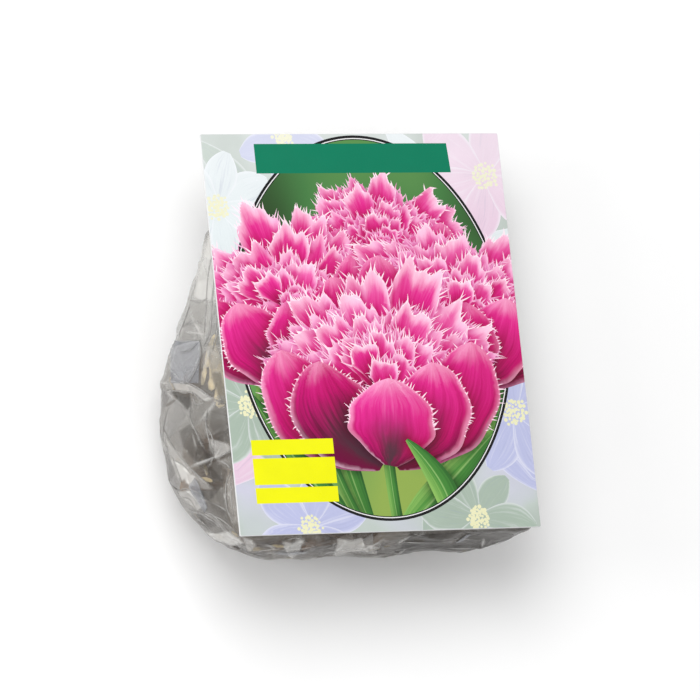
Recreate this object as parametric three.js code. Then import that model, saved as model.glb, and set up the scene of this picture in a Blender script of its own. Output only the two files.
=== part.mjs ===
// A retail packet of tulip bulbs: a stiff picture card, a clear film pouch sealed to the card's back, and
// the loose bulbs inside. It lies on its back on a table. Millimetres, +Z up: the table is Z = 0, the card's
// face looks up, its bottom edge is towards -Y, and the origin is under the middle of the packet.

import * as THREE from "three";
import { ConvexHull } from "three/addons/math/ConvexHull.js";

const { clamp, degToRad, lerp, smoothstep } = THREE.MathUtils;

// Card
const CARD_WIDTH = 150;
const CARD_HEIGHT = 190;
const CARD_THICKNESS = 0.8;
const CARD_PITCH = degToRad(6); // the top edge lies lower than the bottom edge
const CARD_ROLL = degToRad(3.5); // the right edge lies lower than the left edge

// Bulbs of the size that measures 10 to 11 cm round
const BULB_DIAMETER = 34;
const BULB_LENGTH = 43;
const BULB_SIZE_SPREAD = 0.05; // how much a bulb is larger or smaller than that, as a share
const BASAL_PLATE_RADIUS = 5.5;
const BELLY_SHIFT = 0.68; // under 1 puts the widest ring nearer the base than the tip
const BASE_POWER = 0.55; // under 1 makes the base full
const TIP_POWER = 0.65; // how much more slender the tip is than the base
const TIP_LEAN = 3; // the most that the tip lies off the axis
const TIP_RADIUS = 0.9;
const SIDE_FLATTENING = 0.1; // the most that one side is flattened, as a share
const WIDEST = 0.4; // where the widest ring is, as a share of the length
const BULB_SIDES = 12;
const BULB_RINGS = 9;
const RING_CROWDING = 1.25; // over 1 brings the rings together near the base
const BULB_REACH = BULB_LENGTH * (1 - WIDEST) + TIP_LEAN; // from the widest ring to the farthest corner

// Heap of bulbs under the card, seen from above
const HEAP_LEFT = -85;
const HEAP_RIGHT = 67;
const HEAP_FRONT = -97;
const HEAP_BACK = 10;
const HEAP_FOCUS = { x: (HEAP_LEFT + HEAP_RIGHT) / 2, y: HEAP_FRONT }; // where the film draws the other bulbs
const LAYERS = [
  { rows: 3, columns: 3, height: 22 },
  { rows: 2, columns: 3, height: 58 },
];
const PLACE_SPREAD = 0.04; // how far a bulb starts from its place in the layer, as a share of the heap
const TIP_RISE = 0.45; // the most that a bulb's axis leaves the level, in radians
const REST_GAP = 0.4; // between pieces that touch
const SETTLING_STEPS = 900;
const BULGE_PLACE = { x: -160, y: -27 }; // one bulb of the back row is drawn towards here, into the bag's left bulge
const FALL = 0.4; // in each of those steps
const DRAW_IN = { across: 0.003, forwards: 0.006 }; // in each step, as a share of the way

// Film
const FILM_THICKNESS = 0.6; // thicker than the real film, which is about 0.05
const FLANGE_WIDTH = 7; // turned in and sealed on the card's back
const FLANGE_INSET = 0.8; // from the card's edge to the fold
const FILM_COLUMNS = 42;
const FILM_ROWS = 50;
const WALL_STEPS = 8; // cells from the card's edge down to the table
const FLAT_ROWS = 8; // at the top the pouch is empty and lies flat on the card's back
const FIRST_FLAT_ROW = FILM_ROWS - FLAT_ROWS;
const FLAT_ABOVE = 50; // from the card's middle up
const FLAT_DEPTH = 1.3; // from the flange to the film where it lies flat
const FILM_CLEARANCE = 0.5; // from the film to a bulb
const BULGE = 20; // how far outside the card's edge the film hangs before it is tightened
const BULGE_DEPTH = 0.4; // how far down the wall it is that wide, as a share
const TIGHTENING_STEPS = 400;
const FITTING_STEPS = 60; // the last of them, in which the film is fitted more finely to the bulbs
const FILM_SLACK = 0.05; // how much longer the film is than a tight wrap, as a share
const WRINKLING_STEPS = 160;
const DEEPEST_POKE = 8; // the most that a bulb's corner can be through the film before it is fitted

// The bag also keeps its folded form where no bulb fills it. These are the corners of that form in the
// card's frame: across, up the card, and out of its face.
const BAG_CORNERS = [
  [-73, 47, -3], [73, 47, -3], // where the bag leaves the card's back
  [-73, -93, -3], [73, -93, -3],
  [-82, 17, -21], [-90, -14, -45], [-89, -42, -46], [-78, -74, -47], // the left side
  [-58, -87, -54], [-18, -93, -57], [52, -91, -52], [73, -93, -40], // the bottom end
  [66, -45, -45], [64, -4, -38], // the right side
];
// The corners of the flat base under the bulbs, on the table
const BASE_CORNERS = [
  [-60, -84], [50, -84], [57, -70], [56, -24], [44, -12], [-44, -12], [-70, -30], [-73, -60],
];

const FILM_HALF = FILM_THICKNESS / 2;
const FLANGE_LEVEL = -REST_GAP - FILM_HALF;
const SEED = 1011;

// A number from 0 to 1 that is the same on each run.
function seededRandom(seed) {
  let state = seed >>> 0;
  return () => {
    state = (state + 0x6d2b79f5) >>> 0;
    let t = Math.imul(state ^ (state >>> 15), state | 1);
    t ^= t + Math.imul(t ^ (t >>> 7), t | 61);
    return ((t ^ (t >>> 14)) >>> 0) / 4294967296;
  };
}

const random = seededRandom(SEED);
const spread = (amount) => (2 * random() - 1) * amount;

// A bulb's radius at a share of its length, from 0 at the base to 1 at the tip.
function bulbRadius(share) {
  const belly = Math.max(Math.sin(Math.PI * share ** BELLY_SHIFT), 0);
  return (BULB_DIAMETER / 2) * belly ** (BASE_POWER + TIP_POWER * share);
}

function bulbProfile() {
  const points = [new THREE.Vector2(0, 0), new THREE.Vector2(BASAL_PLATE_RADIUS, 0)];
  for (let ring = 1; ring < BULB_RINGS; ring++) {
    const share = (ring / BULB_RINGS) ** RING_CROWDING;
    points.push(new THREE.Vector2(bulbRadius(share), share * BULB_LENGTH));
  }
  points.push(new THREE.Vector2(TIP_RADIUS, BULB_LENGTH - TIP_RADIUS));
  points.push(new THREE.Vector2(0, BULB_LENGTH));
  return points;
}

const PROFILE = bulbProfile();

// The way from the bulb's outline to a place beside its axis, and whether that place is outside.
function fromProfile(radius, height) {
  const best = { distance: Infinity, radial: 1, axial: 0, outside: true };
  for (let i = 1; i < PROFILE.length; i++) {
    const [a, b] = [PROFILE[i - 1], PROFILE[i]];
    const [dx, dy] = [b.x - a.x, b.y - a.y];
    const along = ((radius - a.x) * dx + (height - a.y) * dy) / (dx * dx + dy * dy);
    const share = clamp(along, 0, 1);
    const [ex, ey] = [radius - a.x - share * dx, height - a.y - share * dy];
    const distance = Math.hypot(ex, ey);
    if (height >= a.y && height < b.y) best.outside = dx * (height - a.y) - dy * (radius - a.x) < 0;
    if (distance < best.distance) Object.assign(best, { distance, radial: ex, axial: ey });
  }
  return best;
}

class Bulb {
  constructor(centre) {
    this.centre = centre;
    this.size = 1 + spread(BULB_SIZE_SPREAD);
    this.flattening = random() * SIDE_FLATTENING;
    this.lean = spread(TIP_LEAN);
    const tilt = new THREE.Euler(Math.PI / 2 + spread(TIP_RISE), spread(Math.PI), spread(Math.PI), "ZYX");
    this.turn = new THREE.Quaternion().setFromEuler(tilt);
    this.turnBack = this.turn.clone().invert();
    this.geometry = this.form();
    this.corners = this.turnedCorners();
    this.box = new THREE.Box3().setFromPoints(this.corners);
  }

  // A lathe form along Z, flattened on one side and with its tip off the axis. Z = 0 is its widest ring.
  form() {
    const geometry = new THREE.LatheGeometry(PROFILE, BULB_SIDES).rotateX(Math.PI / 2);
    const position = geometry.getAttribute("position");
    for (let i = 0; i < position.count; i++) {
      const x = position.getX(i);
      const flat = x > 0 ? 1 - this.flattening : 1;
      position.setX(i, x * flat + this.lean * (position.getZ(i) / BULB_LENGTH) ** 3);
    }
    geometry.translate(0, 0, -BULB_LENGTH * WIDEST).scale(this.size, this.size, this.size);
    geometry.computeVertexNormals();
    return geometry;
  }

  turnedCorners() {
    const position = this.geometry.getAttribute("position");
    const corners = [];
    for (let i = 0; i < position.count; i++) {
      corners.push(new THREE.Vector3().fromBufferAttribute(position, i).applyQuaternion(this.turn));
    }
    return corners;
  }

  // How a point has to move to be this far outside the bulb, or null where it is.
  wayOut(point, distance) {
    const reach = BULB_REACH * this.size + distance;
    if (point.distanceToSquared(this.centre) > reach * reach) return null;
    const local = point.clone().sub(this.centre).applyQuaternion(this.turnBack).divideScalar(this.size);
    const height = local.z + BULB_LENGTH * WIDEST;
    local.x -= this.lean * clamp(height / BULB_LENGTH, 0, 1) ** 3;
    const radius = Math.hypot(local.x, local.y);
    const way = fromProfile(radius, height);
    const sign = way.outside ? 1 : -1;
    const lacking = distance / this.size - sign * way.distance;
    if (lacking <= 0) return null;
    const scale = (sign * lacking * this.size) / Math.max(way.distance, 1e-6);
    const radial = (way.radial * scale) / Math.max(radius, 1e-6);
    return local.set(local.x * radial, local.y * radial, way.axial * scale).applyQuaternion(this.turn);
  }

  // How far a triangle of the film has to move along its normal to leave all of the bulb's corners behind it.
  pushOn(face, normal) {
    const away = FILM_HALF + FILM_CLEARANCE / 2;
    const corner = new THREE.Vector3();
    const way = new THREE.Vector3();
    let push = 0;
    for (const local of this.corners) {
      corner.addVectors(local, this.centre);
      const lacking = way.subVectors(corner, face.a).dot(normal) + away;
      if (lacking > push && lacking < DEEPEST_POKE && face.containsPoint(corner)) push = lacking;
    }
    return push;
  }
}

// The bag's folded form is the convex body over its corners.
class BagForm {
  constructor(cardPlace) {
    const corners = BAG_CORNERS.map((corner) => new THREE.Vector3(...corner).applyMatrix4(cardPlace));
    const base = BASE_CORNERS.map(([x, y]) => new THREE.Vector3(x, y, FILM_THICKNESS + FILM_CLEARANCE));
    this.faces = new ConvexHull().setFromPoints([...corners, ...base]).faces;
  }

  wayOut(point, distance) {
    let nearest = -Infinity;
    let normal = null;
    for (const face of this.faces) {
      const away = face.distanceToPoint(point);
      if (away >= distance) return null;
      if (away > nearest) [nearest, normal] = [away, face.normal];
    }
    return normal.clone().multiplyScalar(distance - nearest);
  }
}

function makeBulbs() {
  const bulbs = [];
  for (const { rows, columns, height } of LAYERS) {
    for (let row = 0; row < rows; row++) {
      for (let column = 0; column < columns; column++) {
        const x = lerp(HEAP_LEFT, HEAP_RIGHT, (column + 0.5) / columns + spread(PLACE_SPREAD));
        const y = lerp(HEAP_FRONT, HEAP_BACK, (row + 0.5) / rows + spread(PLACE_SPREAD));
        const bulb = new Bulb(new THREE.Vector3(x, y, height));
        const inBulge = row === 2 && column === 0;
        bulb.drawnTo = inBulge ? BULGE_PLACE : HEAP_FOCUS;
        bulbs.push(bulb);
      }
    }
  }
  return bulbs;
}

// Moves two bulbs apart by the deepest corner that one has in the other.
function partBulbs(a, b) {
  if (a.centre.distanceTo(b.centre) > BULB_REACH * 2) return;
  let deepest = null;
  const corner = new THREE.Vector3();
  for (const local of a.corners) {
    const way = b.wayOut(corner.addVectors(local, a.centre), REST_GAP);
    if (way && (!deepest || way.lengthSq() > deepest.lengthSq())) deepest = way;
  }
  if (!deepest) return;
  a.centre.addScaledVector(deepest, 0.5);
  b.centre.addScaledVector(deepest, -0.5);
}

function keepInHeap({ centre, box }) {
  centre.x = clamp(centre.x, HEAP_LEFT - box.min.x, HEAP_RIGHT - box.max.x);
  centre.y = clamp(centre.y, HEAP_FRONT - box.min.y, HEAP_BACK - box.max.y);
  centre.z = Math.max(centre.z, FILM_THICKNESS + REST_GAP - box.min.z);
}

// The bulbs drop on the table and the film draws them together, until they lie on each other.
function settle(bulbs) {
  for (let step = 0; step < SETTLING_STEPS; step++) {
    const force = 1 - smoothstep(step, SETTLING_STEPS * 0.5, SETTLING_STEPS * 0.8);
    for (const { centre, drawnTo } of bulbs) {
      centre.x += DRAW_IN.across * force * (drawnTo.x - centre.x);
      centre.y += DRAW_IN.forwards * force * (drawnTo.y - centre.y);
      centre.z -= FALL * force;
    }
    for (const a of bulbs) {
      for (const b of bulbs) if (a !== b) partBulbs(a, b);
    }
    bulbs.forEach(keepInHeap);
  }
}

// The card lies on the heap. Its frame has X to the right, Y up the picture and Z out of its face, with
// Z = 0 on its back.
function placeCard(bulbs) {
  const tilt = new THREE.Euler(-CARD_PITCH, CARD_ROLL, 0, "YXZ");
  const turn = new THREE.Quaternion().setFromEuler(tilt);
  const face = new THREE.Vector3(0, 0, 1).applyQuaternion(turn);
  let height = 0;
  for (const { centre, corners } of bulbs) {
    for (const corner of corners) {
      height = Math.max(height, (corner.dot(face) + centre.dot(face) + REST_GAP) / face.z);
    }
  }
  return new THREE.Matrix4().compose(new THREE.Vector3(0, 0, height), turn, new THREE.Vector3(1, 1, 1));
}

// The film is a net of points. Its outermost ring is the flange's inner edge on the card's back, the next
// ring is the fold at the card's edge, and the rest is the pouch behind the card.
class Film {
  constructor(cardPlace, contents) {
    this.cardPlace = cardPlace;
    this.toCard = cardPlace.clone().invert();
    this.contents = contents;
    this.points = [];
    this.pinned = [];
    for (let row = 0; row <= FILM_ROWS; row++) {
      for (let column = 0; column <= FILM_COLUMNS; column++) {
        const ring = Math.min(row, column, FILM_ROWS - row, FILM_COLUMNS - column);
        const flat = ring < 2 || row > FIRST_FLAT_ROW;
        this.points.push(flat ? this.flatPoint(row, column, ring) : this.pouchPoint(row, column));
        this.pinned.push(flat || row >= FIRST_FLAT_ROW);
      }
    }
  }

  index(row, column) {
    return row * (FILM_COLUMNS + 1) + column;
  }

  // On the flange, the fold or the empty top of the pouch, all spread evenly over the card's back.
  flatPoint(row, column, ring) {
    const edge = FLANGE_INSET + (ring === 0 ? FLANGE_WIDTH : 0);
    const halfWidth = CARD_WIDTH / 2 - edge;
    const x = lerp(-halfWidth, halfWidth, clamp((column - 1) / (FILM_COLUMNS - 2), 0, 1));
    const y = this.rowLevel(row, CARD_HEIGHT / 2 - edge);
    const z = FLANGE_LEVEL - (ring < 2 ? 0 : FLAT_DEPTH);
    return new THREE.Vector3(x, y, z).applyMatrix4(this.cardPlace);
  }

  // How far up the card a row is: the top rows share out the flat part, and the others the rest.
  rowLevel(row, halfHeight) {
    const flat = clamp((row - FIRST_FLAT_ROW) / (FLAT_ROWS - 1), 0, 1);
    const below = clamp((row - 1) / (FIRST_FLAT_ROW - 1), 0, 1);
    return row < FIRST_FLAT_ROW ? lerp(-halfHeight, FLAT_ABOVE, below) : lerp(FLAT_ABOVE, halfHeight, flat);
  }

  // Before it is tightened, the pouch hangs as a wide tray from the card's edges to the table.
  pouchPoint(row, column) {
    const halfWidth = CARD_WIDTH / 2 - FLANGE_INSET;
    const halfHeight = CARD_HEIGHT / 2 - FLANGE_INSET;
    const fromSide = Math.min(column, FILM_COLUMNS - column) - 1;
    const fromEnd = Math.min(row - 1, FIRST_FLAT_ROW - row);
    const wall = clamp(Math.min(fromSide, fromEnd) / WALL_STEPS, 0, 1);
    const out = BULGE * smoothstep(wall, 0, BULGE_DEPTH);
    const across = clamp((column - 1 - WALL_STEPS) / (FILM_COLUMNS - 2 - 2 * WALL_STEPS), 0, 1);
    const up = clamp((row - 1 - WALL_STEPS) / (FIRST_FLAT_ROW - 1 - 2 * WALL_STEPS), 0, 1);
    const x = lerp(-halfWidth - out, halfWidth + out, across);
    const y = lerp(-halfHeight - out / 2, FLAT_ABOVE, up);
    const point = new THREE.Vector3(x, y, FLANGE_LEVEL).applyMatrix4(this.cardPlace);
    point.z = lerp(point.z, FILM_HALF, wall);
    return point;
  }

  // How a place on the film has to move to be outside the contents.
  pushOn(point) {
    for (const thing of this.contents) {
      const way = thing.wayOut(point, FILM_HALF + FILM_CLEARANCE);
      if (way) return way;
    }
    return null;
  }

  // Moves a point outside the contents, behind the card and onto the table.
  hold(point) {
    const way = this.pushOn(point);
    if (way) point.add(way);
    point.applyMatrix4(this.toCard);
    point.z = Math.min(point.z, FLANGE_LEVEL - FLAT_DEPTH);
    point.applyMatrix4(this.cardPlace);
    point.z = Math.max(point.z, FILM_HALF);
  }

  eachFree(action) {
    for (let row = 2; row < FILM_ROWS - 1; row++) {
      for (let column = 2; column < FILM_COLUMNS - 1; column++) {
        const i = this.index(row, column);
        if (!this.pinned[i]) action(i);
      }
    }
  }

  // Where a bulb's corner comes through a triangle between its points, the triangle moves out.
  fitOver(bulbs) {
    const triangles = filmTriangles(this);
    const face = new THREE.Triangle();
    const normal = new THREE.Vector3();
    for (let t = 0; t < triangles.length; t += 3) {
      const ids = triangles.slice(t, t + 3);
      face.setFromPointsAndIndices(this.points, ...ids);
      face.getNormal(normal);
      let push = 0;
      for (const bulb of bulbs) {
        if (face.a.distanceTo(bulb.centre) > BULB_REACH + DEEPEST_POKE) continue;
        push = Math.max(push, bulb.pushOn(face, normal));
      }
      for (const i of ids) {
        if (this.pinned[i]) continue;
        this.points[i].addScaledVector(normal, push);
        this.points[i].z = Math.max(this.points[i].z, FILM_HALF);
      }
    }
  }

  relax(share) {
    const mean = new THREE.Vector3();
    const width = FILM_COLUMNS + 1;
    this.eachFree((i) => {
      mean.set(0, 0, 0);
      for (const j of [i - 1, i + 1, i - width, i + width]) mean.add(this.points[j]);
      this.points[i].lerp(mean.divideScalar(4), share);
      this.hold(this.points[i]);
    });
  }

  // Draws the film in like a rubber skin until it lies tight on the bulbs.
  tighten(bulbs) {
    for (let step = 0; step < TIGHTENING_STEPS; step++) {
      this.relax(0.9);
      if (step >= TIGHTENING_STEPS - FITTING_STEPS) this.fitOver(bulbs);
    }
  }

  // The film is a little longer than that wrap, so it buckles into shallow wrinkles where it is free.
  wrinkle(bulbs) {
    const ties = this.makeTies();
    this.eachFree((i) => {
      if (this.points[i].z < FILM_HALF + 0.1) this.pinned[i] = true;
      else this.points[i].add(new THREE.Vector3(spread(1), spread(1), spread(1)));
    });
    const along = new THREE.Vector3();
    for (let step = 0; step < WRINKLING_STEPS; step++) {
      for (const [i, j, length] of ties) {
        along.subVectors(this.points[j], this.points[i]);
        along.multiplyScalar((0.4 * (along.length() - length)) / Math.max(along.length(), 1e-6));
        if (!this.pinned[i]) this.points[i].add(along);
        if (!this.pinned[j]) this.points[j].sub(along);
      }
      this.eachFree((i) => this.hold(this.points[i]));
    }
    for (let step = 0; step < 3; step++) this.relax(0.35);
    for (let step = 0; step < 6; step++) this.fitOver(bulbs);
  }

  // Neighbours across, up and on both diagonals, and their distance in the slack film.
  makeTies() {
    const ties = [];
    const width = FILM_COLUMNS + 1;
    for (let row = 1; row < FILM_ROWS - 1; row++) {
      for (let column = 1; column < FILM_COLUMNS - 1; column++) {
        const i = this.index(row, column);
        for (const [a, b] of [[i, i + 1], [i, i + width], [i, i + width + 1], [i + 1, i + width]]) {
          const slack = 1 + FILM_SLACK * (0.4 + 1.2 * random());
          ties.push([a, b, this.points[a].distanceTo(this.points[b]) * slack]);
        }
      }
    }
    return ties;
  }
}

// Each cell is split along its shorter diagonal.
function filmTriangles(film) {
  const triangles = [];
  for (let row = 0; row < FILM_ROWS; row++) {
    for (let column = 0; column < FILM_COLUMNS; column++) {
      const a = film.index(row, column);
      const [b, d] = [a + 1, film.index(row + 1, column)];
      const c = d + 1;
      const [pa, pb, pc, pd] = [a, b, c, d].map((i) => film.points[i]);
      const cell = pa.distanceTo(pc) <= pb.distanceTo(pd) ? [a, c, b, a, d, c] : [a, d, b, b, d, c];
      triangles.push(...cell);
    }
  }
  return triangles;
}

function netRim(film) {
  const loop = [];
  for (let column = 0; column < FILM_COLUMNS; column++) loop.push(film.index(0, column));
  for (let row = 0; row < FILM_ROWS; row++) loop.push(film.index(row, FILM_COLUMNS));
  for (let column = FILM_COLUMNS; column > 0; column--) loop.push(film.index(FILM_ROWS, column));
  for (let row = FILM_ROWS; row > 0; row--) loop.push(film.index(row, 0));
  return loop;
}

// The net gets its thickness half to each side, and a rim that closes it.
function filmGeometry(film) {
  const count = film.points.length;
  const outer = filmTriangles(film);
  const skin = new THREE.BufferGeometry().setFromPoints(film.points);
  skin.setIndex(outer);
  skin.computeVertexNormals();
  const normals = skin.getAttribute("normal");
  const offset = (point, i, way) =>
    point.clone().addScaledVector(new THREE.Vector3().fromBufferAttribute(normals, i), way * FILM_HALF);
  const shell = [1, -1].flatMap((way) => film.points.map((point, i) => offset(point, i, way)));
  const triangles = [...outer];
  for (let t = 0; t < outer.length; t += 3) {
    triangles.push(count + outer[t], count + outer[t + 2], count + outer[t + 1]);
  }
  netRim(film).forEach((a, i, loop) => {
    const b = loop[(i + 1) % loop.length];
    triangles.push(a, b, count + b, a, count + b, count + a);
  });
  const geometry = new THREE.BufferGeometry().setFromPoints(shell);
  geometry.setIndex(triangles);
  geometry.computeVertexNormals();
  return geometry;
}

function piece(name, geometry, material) {
  const mesh = new THREE.Mesh(geometry, new THREE.MeshStandardMaterial(material));
  mesh.name = name;
  return mesh;
}

const bulbs = makeBulbs();
settle(bulbs);
const cardPlace = placeCard(bulbs);
const film = new Film(cardPlace, [...bulbs, new BagForm(cardPlace)]);
film.tighten(bulbs);
film.wrinkle(bulbs);

const packet = new THREE.Group();
const cardForm = new THREE.BoxGeometry(CARD_WIDTH, CARD_HEIGHT, CARD_THICKNESS);
cardForm.translate(0, 0, CARD_THICKNESS / 2);
const card = piece("card", cardForm, { color: 0x86a88c, roughness: 0.35 });
card.applyMatrix4(cardPlace);
packet.add(card);

const filmLook = { color: 0xb9b7b2, roughness: 0.2, transparent: true, opacity: 0.45 };
packet.add(piece("film_pouch", filmGeometry(film), filmLook));

bulbs.forEach((bulb, i) => {
  const name = `bulb_${String(i + 1).padStart(2, "0")}`;
  const mesh = piece(name, bulb.geometry, { color: 0x6b3e22, roughness: 0.6 });
  mesh.position.copy(bulb.centre);
  mesh.quaternion.copy(bulb.turn);
  packet.add(mesh);
});

// The origin is under the middle of the packet.
const extent = new THREE.Box3().setFromObject(packet, true);
const middle = extent.getCenter(new THREE.Vector3()).setZ(extent.min.z);
for (const child of packet.children) child.position.sub(middle);

export default packet;
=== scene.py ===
import heapq
import math
import random

import bmesh
import bpy
import numpy as np
from mathutils import Euler, Matrix, Vector, noise
from mathutils.bvhtree import BVHTree
from mathutils.geometry import delaunay_2d_cdt
from mathutils.kdtree import KDTree


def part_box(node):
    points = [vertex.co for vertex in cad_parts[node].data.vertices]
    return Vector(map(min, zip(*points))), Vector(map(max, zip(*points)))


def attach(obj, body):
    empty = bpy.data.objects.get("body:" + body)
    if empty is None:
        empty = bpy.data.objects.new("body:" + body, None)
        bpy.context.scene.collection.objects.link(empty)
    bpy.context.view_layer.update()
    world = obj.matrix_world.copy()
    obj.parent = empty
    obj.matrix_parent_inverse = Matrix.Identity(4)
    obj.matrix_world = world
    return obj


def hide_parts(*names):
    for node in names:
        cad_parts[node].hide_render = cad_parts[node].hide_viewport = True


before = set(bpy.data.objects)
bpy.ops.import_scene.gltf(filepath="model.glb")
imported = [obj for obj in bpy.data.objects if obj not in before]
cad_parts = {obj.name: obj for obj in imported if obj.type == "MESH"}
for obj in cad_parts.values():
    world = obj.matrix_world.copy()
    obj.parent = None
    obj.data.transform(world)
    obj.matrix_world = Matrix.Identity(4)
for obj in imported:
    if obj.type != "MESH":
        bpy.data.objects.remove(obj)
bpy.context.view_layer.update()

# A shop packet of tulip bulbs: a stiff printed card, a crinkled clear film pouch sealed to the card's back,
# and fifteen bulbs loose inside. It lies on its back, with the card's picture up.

MM = 0.001
BODY = "root"

# Card, in millimetres
CARD_WIDTH = 150
CARD_HEIGHT = 190
CARD_THICKNESS = 0.8
CARD_PITCH = math.radians(6)
CARD_ROLL = math.radians(3.5)
CARD_EDGE_SOFTNESS = 0.12

# Camera
PHOTO_SIZE = 700
CAMERA_PLACE = (-0.8629, -0.3092, 2.6108)
CAMERA_ROTATION = Euler([math.radians(turn) for turn in (7.67, -18.21, -3.85)])
CAMERA_LENS = 300
CAMERA_SENSOR = 36
LENS_PIXELS = CAMERA_LENS / CAMERA_SENSOR * PHOTO_SIZE  # the lens's length in pixels of the photograph


def linear(red, green, blue):
    """A colour as printed, 0 to 255, as the light values that a shader takes."""
    def light(value):
        share = value / 255
        return share / 12.92 if share <= 0.04045 else ((share + 0.055) / 1.055) ** 2.4
    return (light(red), light(green), light(blue), 1)


def card_frame():
    """From the card's own frame (across, up and out of its face, from its middle) to the row frame."""
    low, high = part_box("card")
    turn = Matrix.Rotation(CARD_ROLL, 4, "Y") @ Matrix.Rotation(-CARD_PITCH, 4, "X")
    return Matrix.Translation((low + high) / 2) @ turn


CARD_FRAME = card_frame()


# Meshes

JOIN_SPAN = 0.002 * MM
TINY = 1e-12


def node_surface(name):
    """The corners and triangles of a CAD node, with the corners that share a place joined."""
    shape = bmesh.new()
    shape.from_mesh(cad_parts[name].data)
    bmesh.ops.remove_doubles(shape, verts=shape.verts, dist=JOIN_SPAN)
    bmesh.ops.dissolve_degenerate(shape, edges=shape.edges, dist=JOIN_SPAN)
    bmesh.ops.triangulate(shape, faces=shape.faces)
    shape.verts.ensure_lookup_table()
    corners = np.array([vert.co for vert in shape.verts])
    faces = np.array([[vert.index for vert in face.verts] for face in shape.faces])
    shape.free()
    return corners, faces


def put(name, data):
    """A new object in the scene."""
    made = bpy.data.objects.new(name, data)
    bpy.context.scene.collection.objects.link(made)
    return made


def put_piece(name, mesh, replaced=()):
    """A piece of the packet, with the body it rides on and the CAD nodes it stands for."""
    piece = put(name, mesh)
    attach(piece, BODY)
    if replaced:
        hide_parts(*replaced)
    return piece


def add_piece(name, corners, faces, material, replaced=()):
    """A smooth piece of the packet, from corners in metres."""
    mesh = bpy.data.meshes.new(name)
    mesh.from_pydata([tuple(corner) for corner in corners], [], [tuple(face) for face in faces])
    mesh.update()
    for polygon in mesh.polygons:
        polygon.use_smooth = True
    mesh.materials.append(material)
    return put_piece(name, mesh, replaced)


def give_values(piece, values, kind="FLOAT", domain="POINT"):
    """Stores values by name for the corners or faces of the mesh, which its material reads by those names."""
    field = "vector" if kind == "FLOAT_VECTOR" else "value"
    for name, numbers in values.items():
        layer = piece.data.attributes.new(name, kind, domain)
        layer.data.foreach_set(field, np.asarray(numbers, dtype=np.float32).ravel())


def surface(corners, faces):
    """A mesh that can be asked for its nearest place, or what a ray meets."""
    return BVHTree.FromPolygons([Vector(c) for c in corners], [[int(c) for c in face] for face in faces])


def joined(parts):
    """Several meshes as one."""
    corners, faces, count = [], [], 0
    for part, part_faces in parts:
        corners.append(part)
        faces += [tuple(int(corner) + count for corner in face) for face in part_faces]
        count += len(part)
    return np.concatenate(corners), faces


def grid_faces(rows, columns, pair):
    """Two triangles in each cell of a grid of corners, given by their steps from the cell's first corner."""
    first = np.arange(rows - 1)[:, None] * columns + np.arange(columns - 1)
    return (first.reshape(-1, 1) + pair).reshape(-1, 3)


def unit(ways):
    """The same ways, each of length 1."""
    return ways / np.maximum(np.linalg.norm(ways, axis=-1, keepdims=True), TINY)


def side_pairs(faces):
    """The sides of triangles as pairs of corners: all the first sides, then the second and the third ones."""
    return np.sort(np.concatenate([faces[:, [0, 1]], faces[:, [1, 2]], faces[:, [2, 0]]]), axis=1)


def side_lengths(corners, faces):
    """Each triangle's three sides."""
    sides = corners[faces]
    return np.linalg.norm(sides - np.roll(sides, 1, axis=1), axis=2)


def face_normals(corners, faces):
    """Each triangle's normal, as long as twice its area."""
    a, b, c = (corners[faces[:, place]] for place in range(3))
    return np.cross(b - a, c - a)


def corner_normals(corners, faces):
    """Each corner's normal, from the triangles round it."""
    normals = np.zeros_like(corners)
    flat = face_normals(corners, faces)
    for place in range(3):
        np.add.at(normals, faces[:, place], flat)
    return unit(normals)


# Shader nodes

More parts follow.
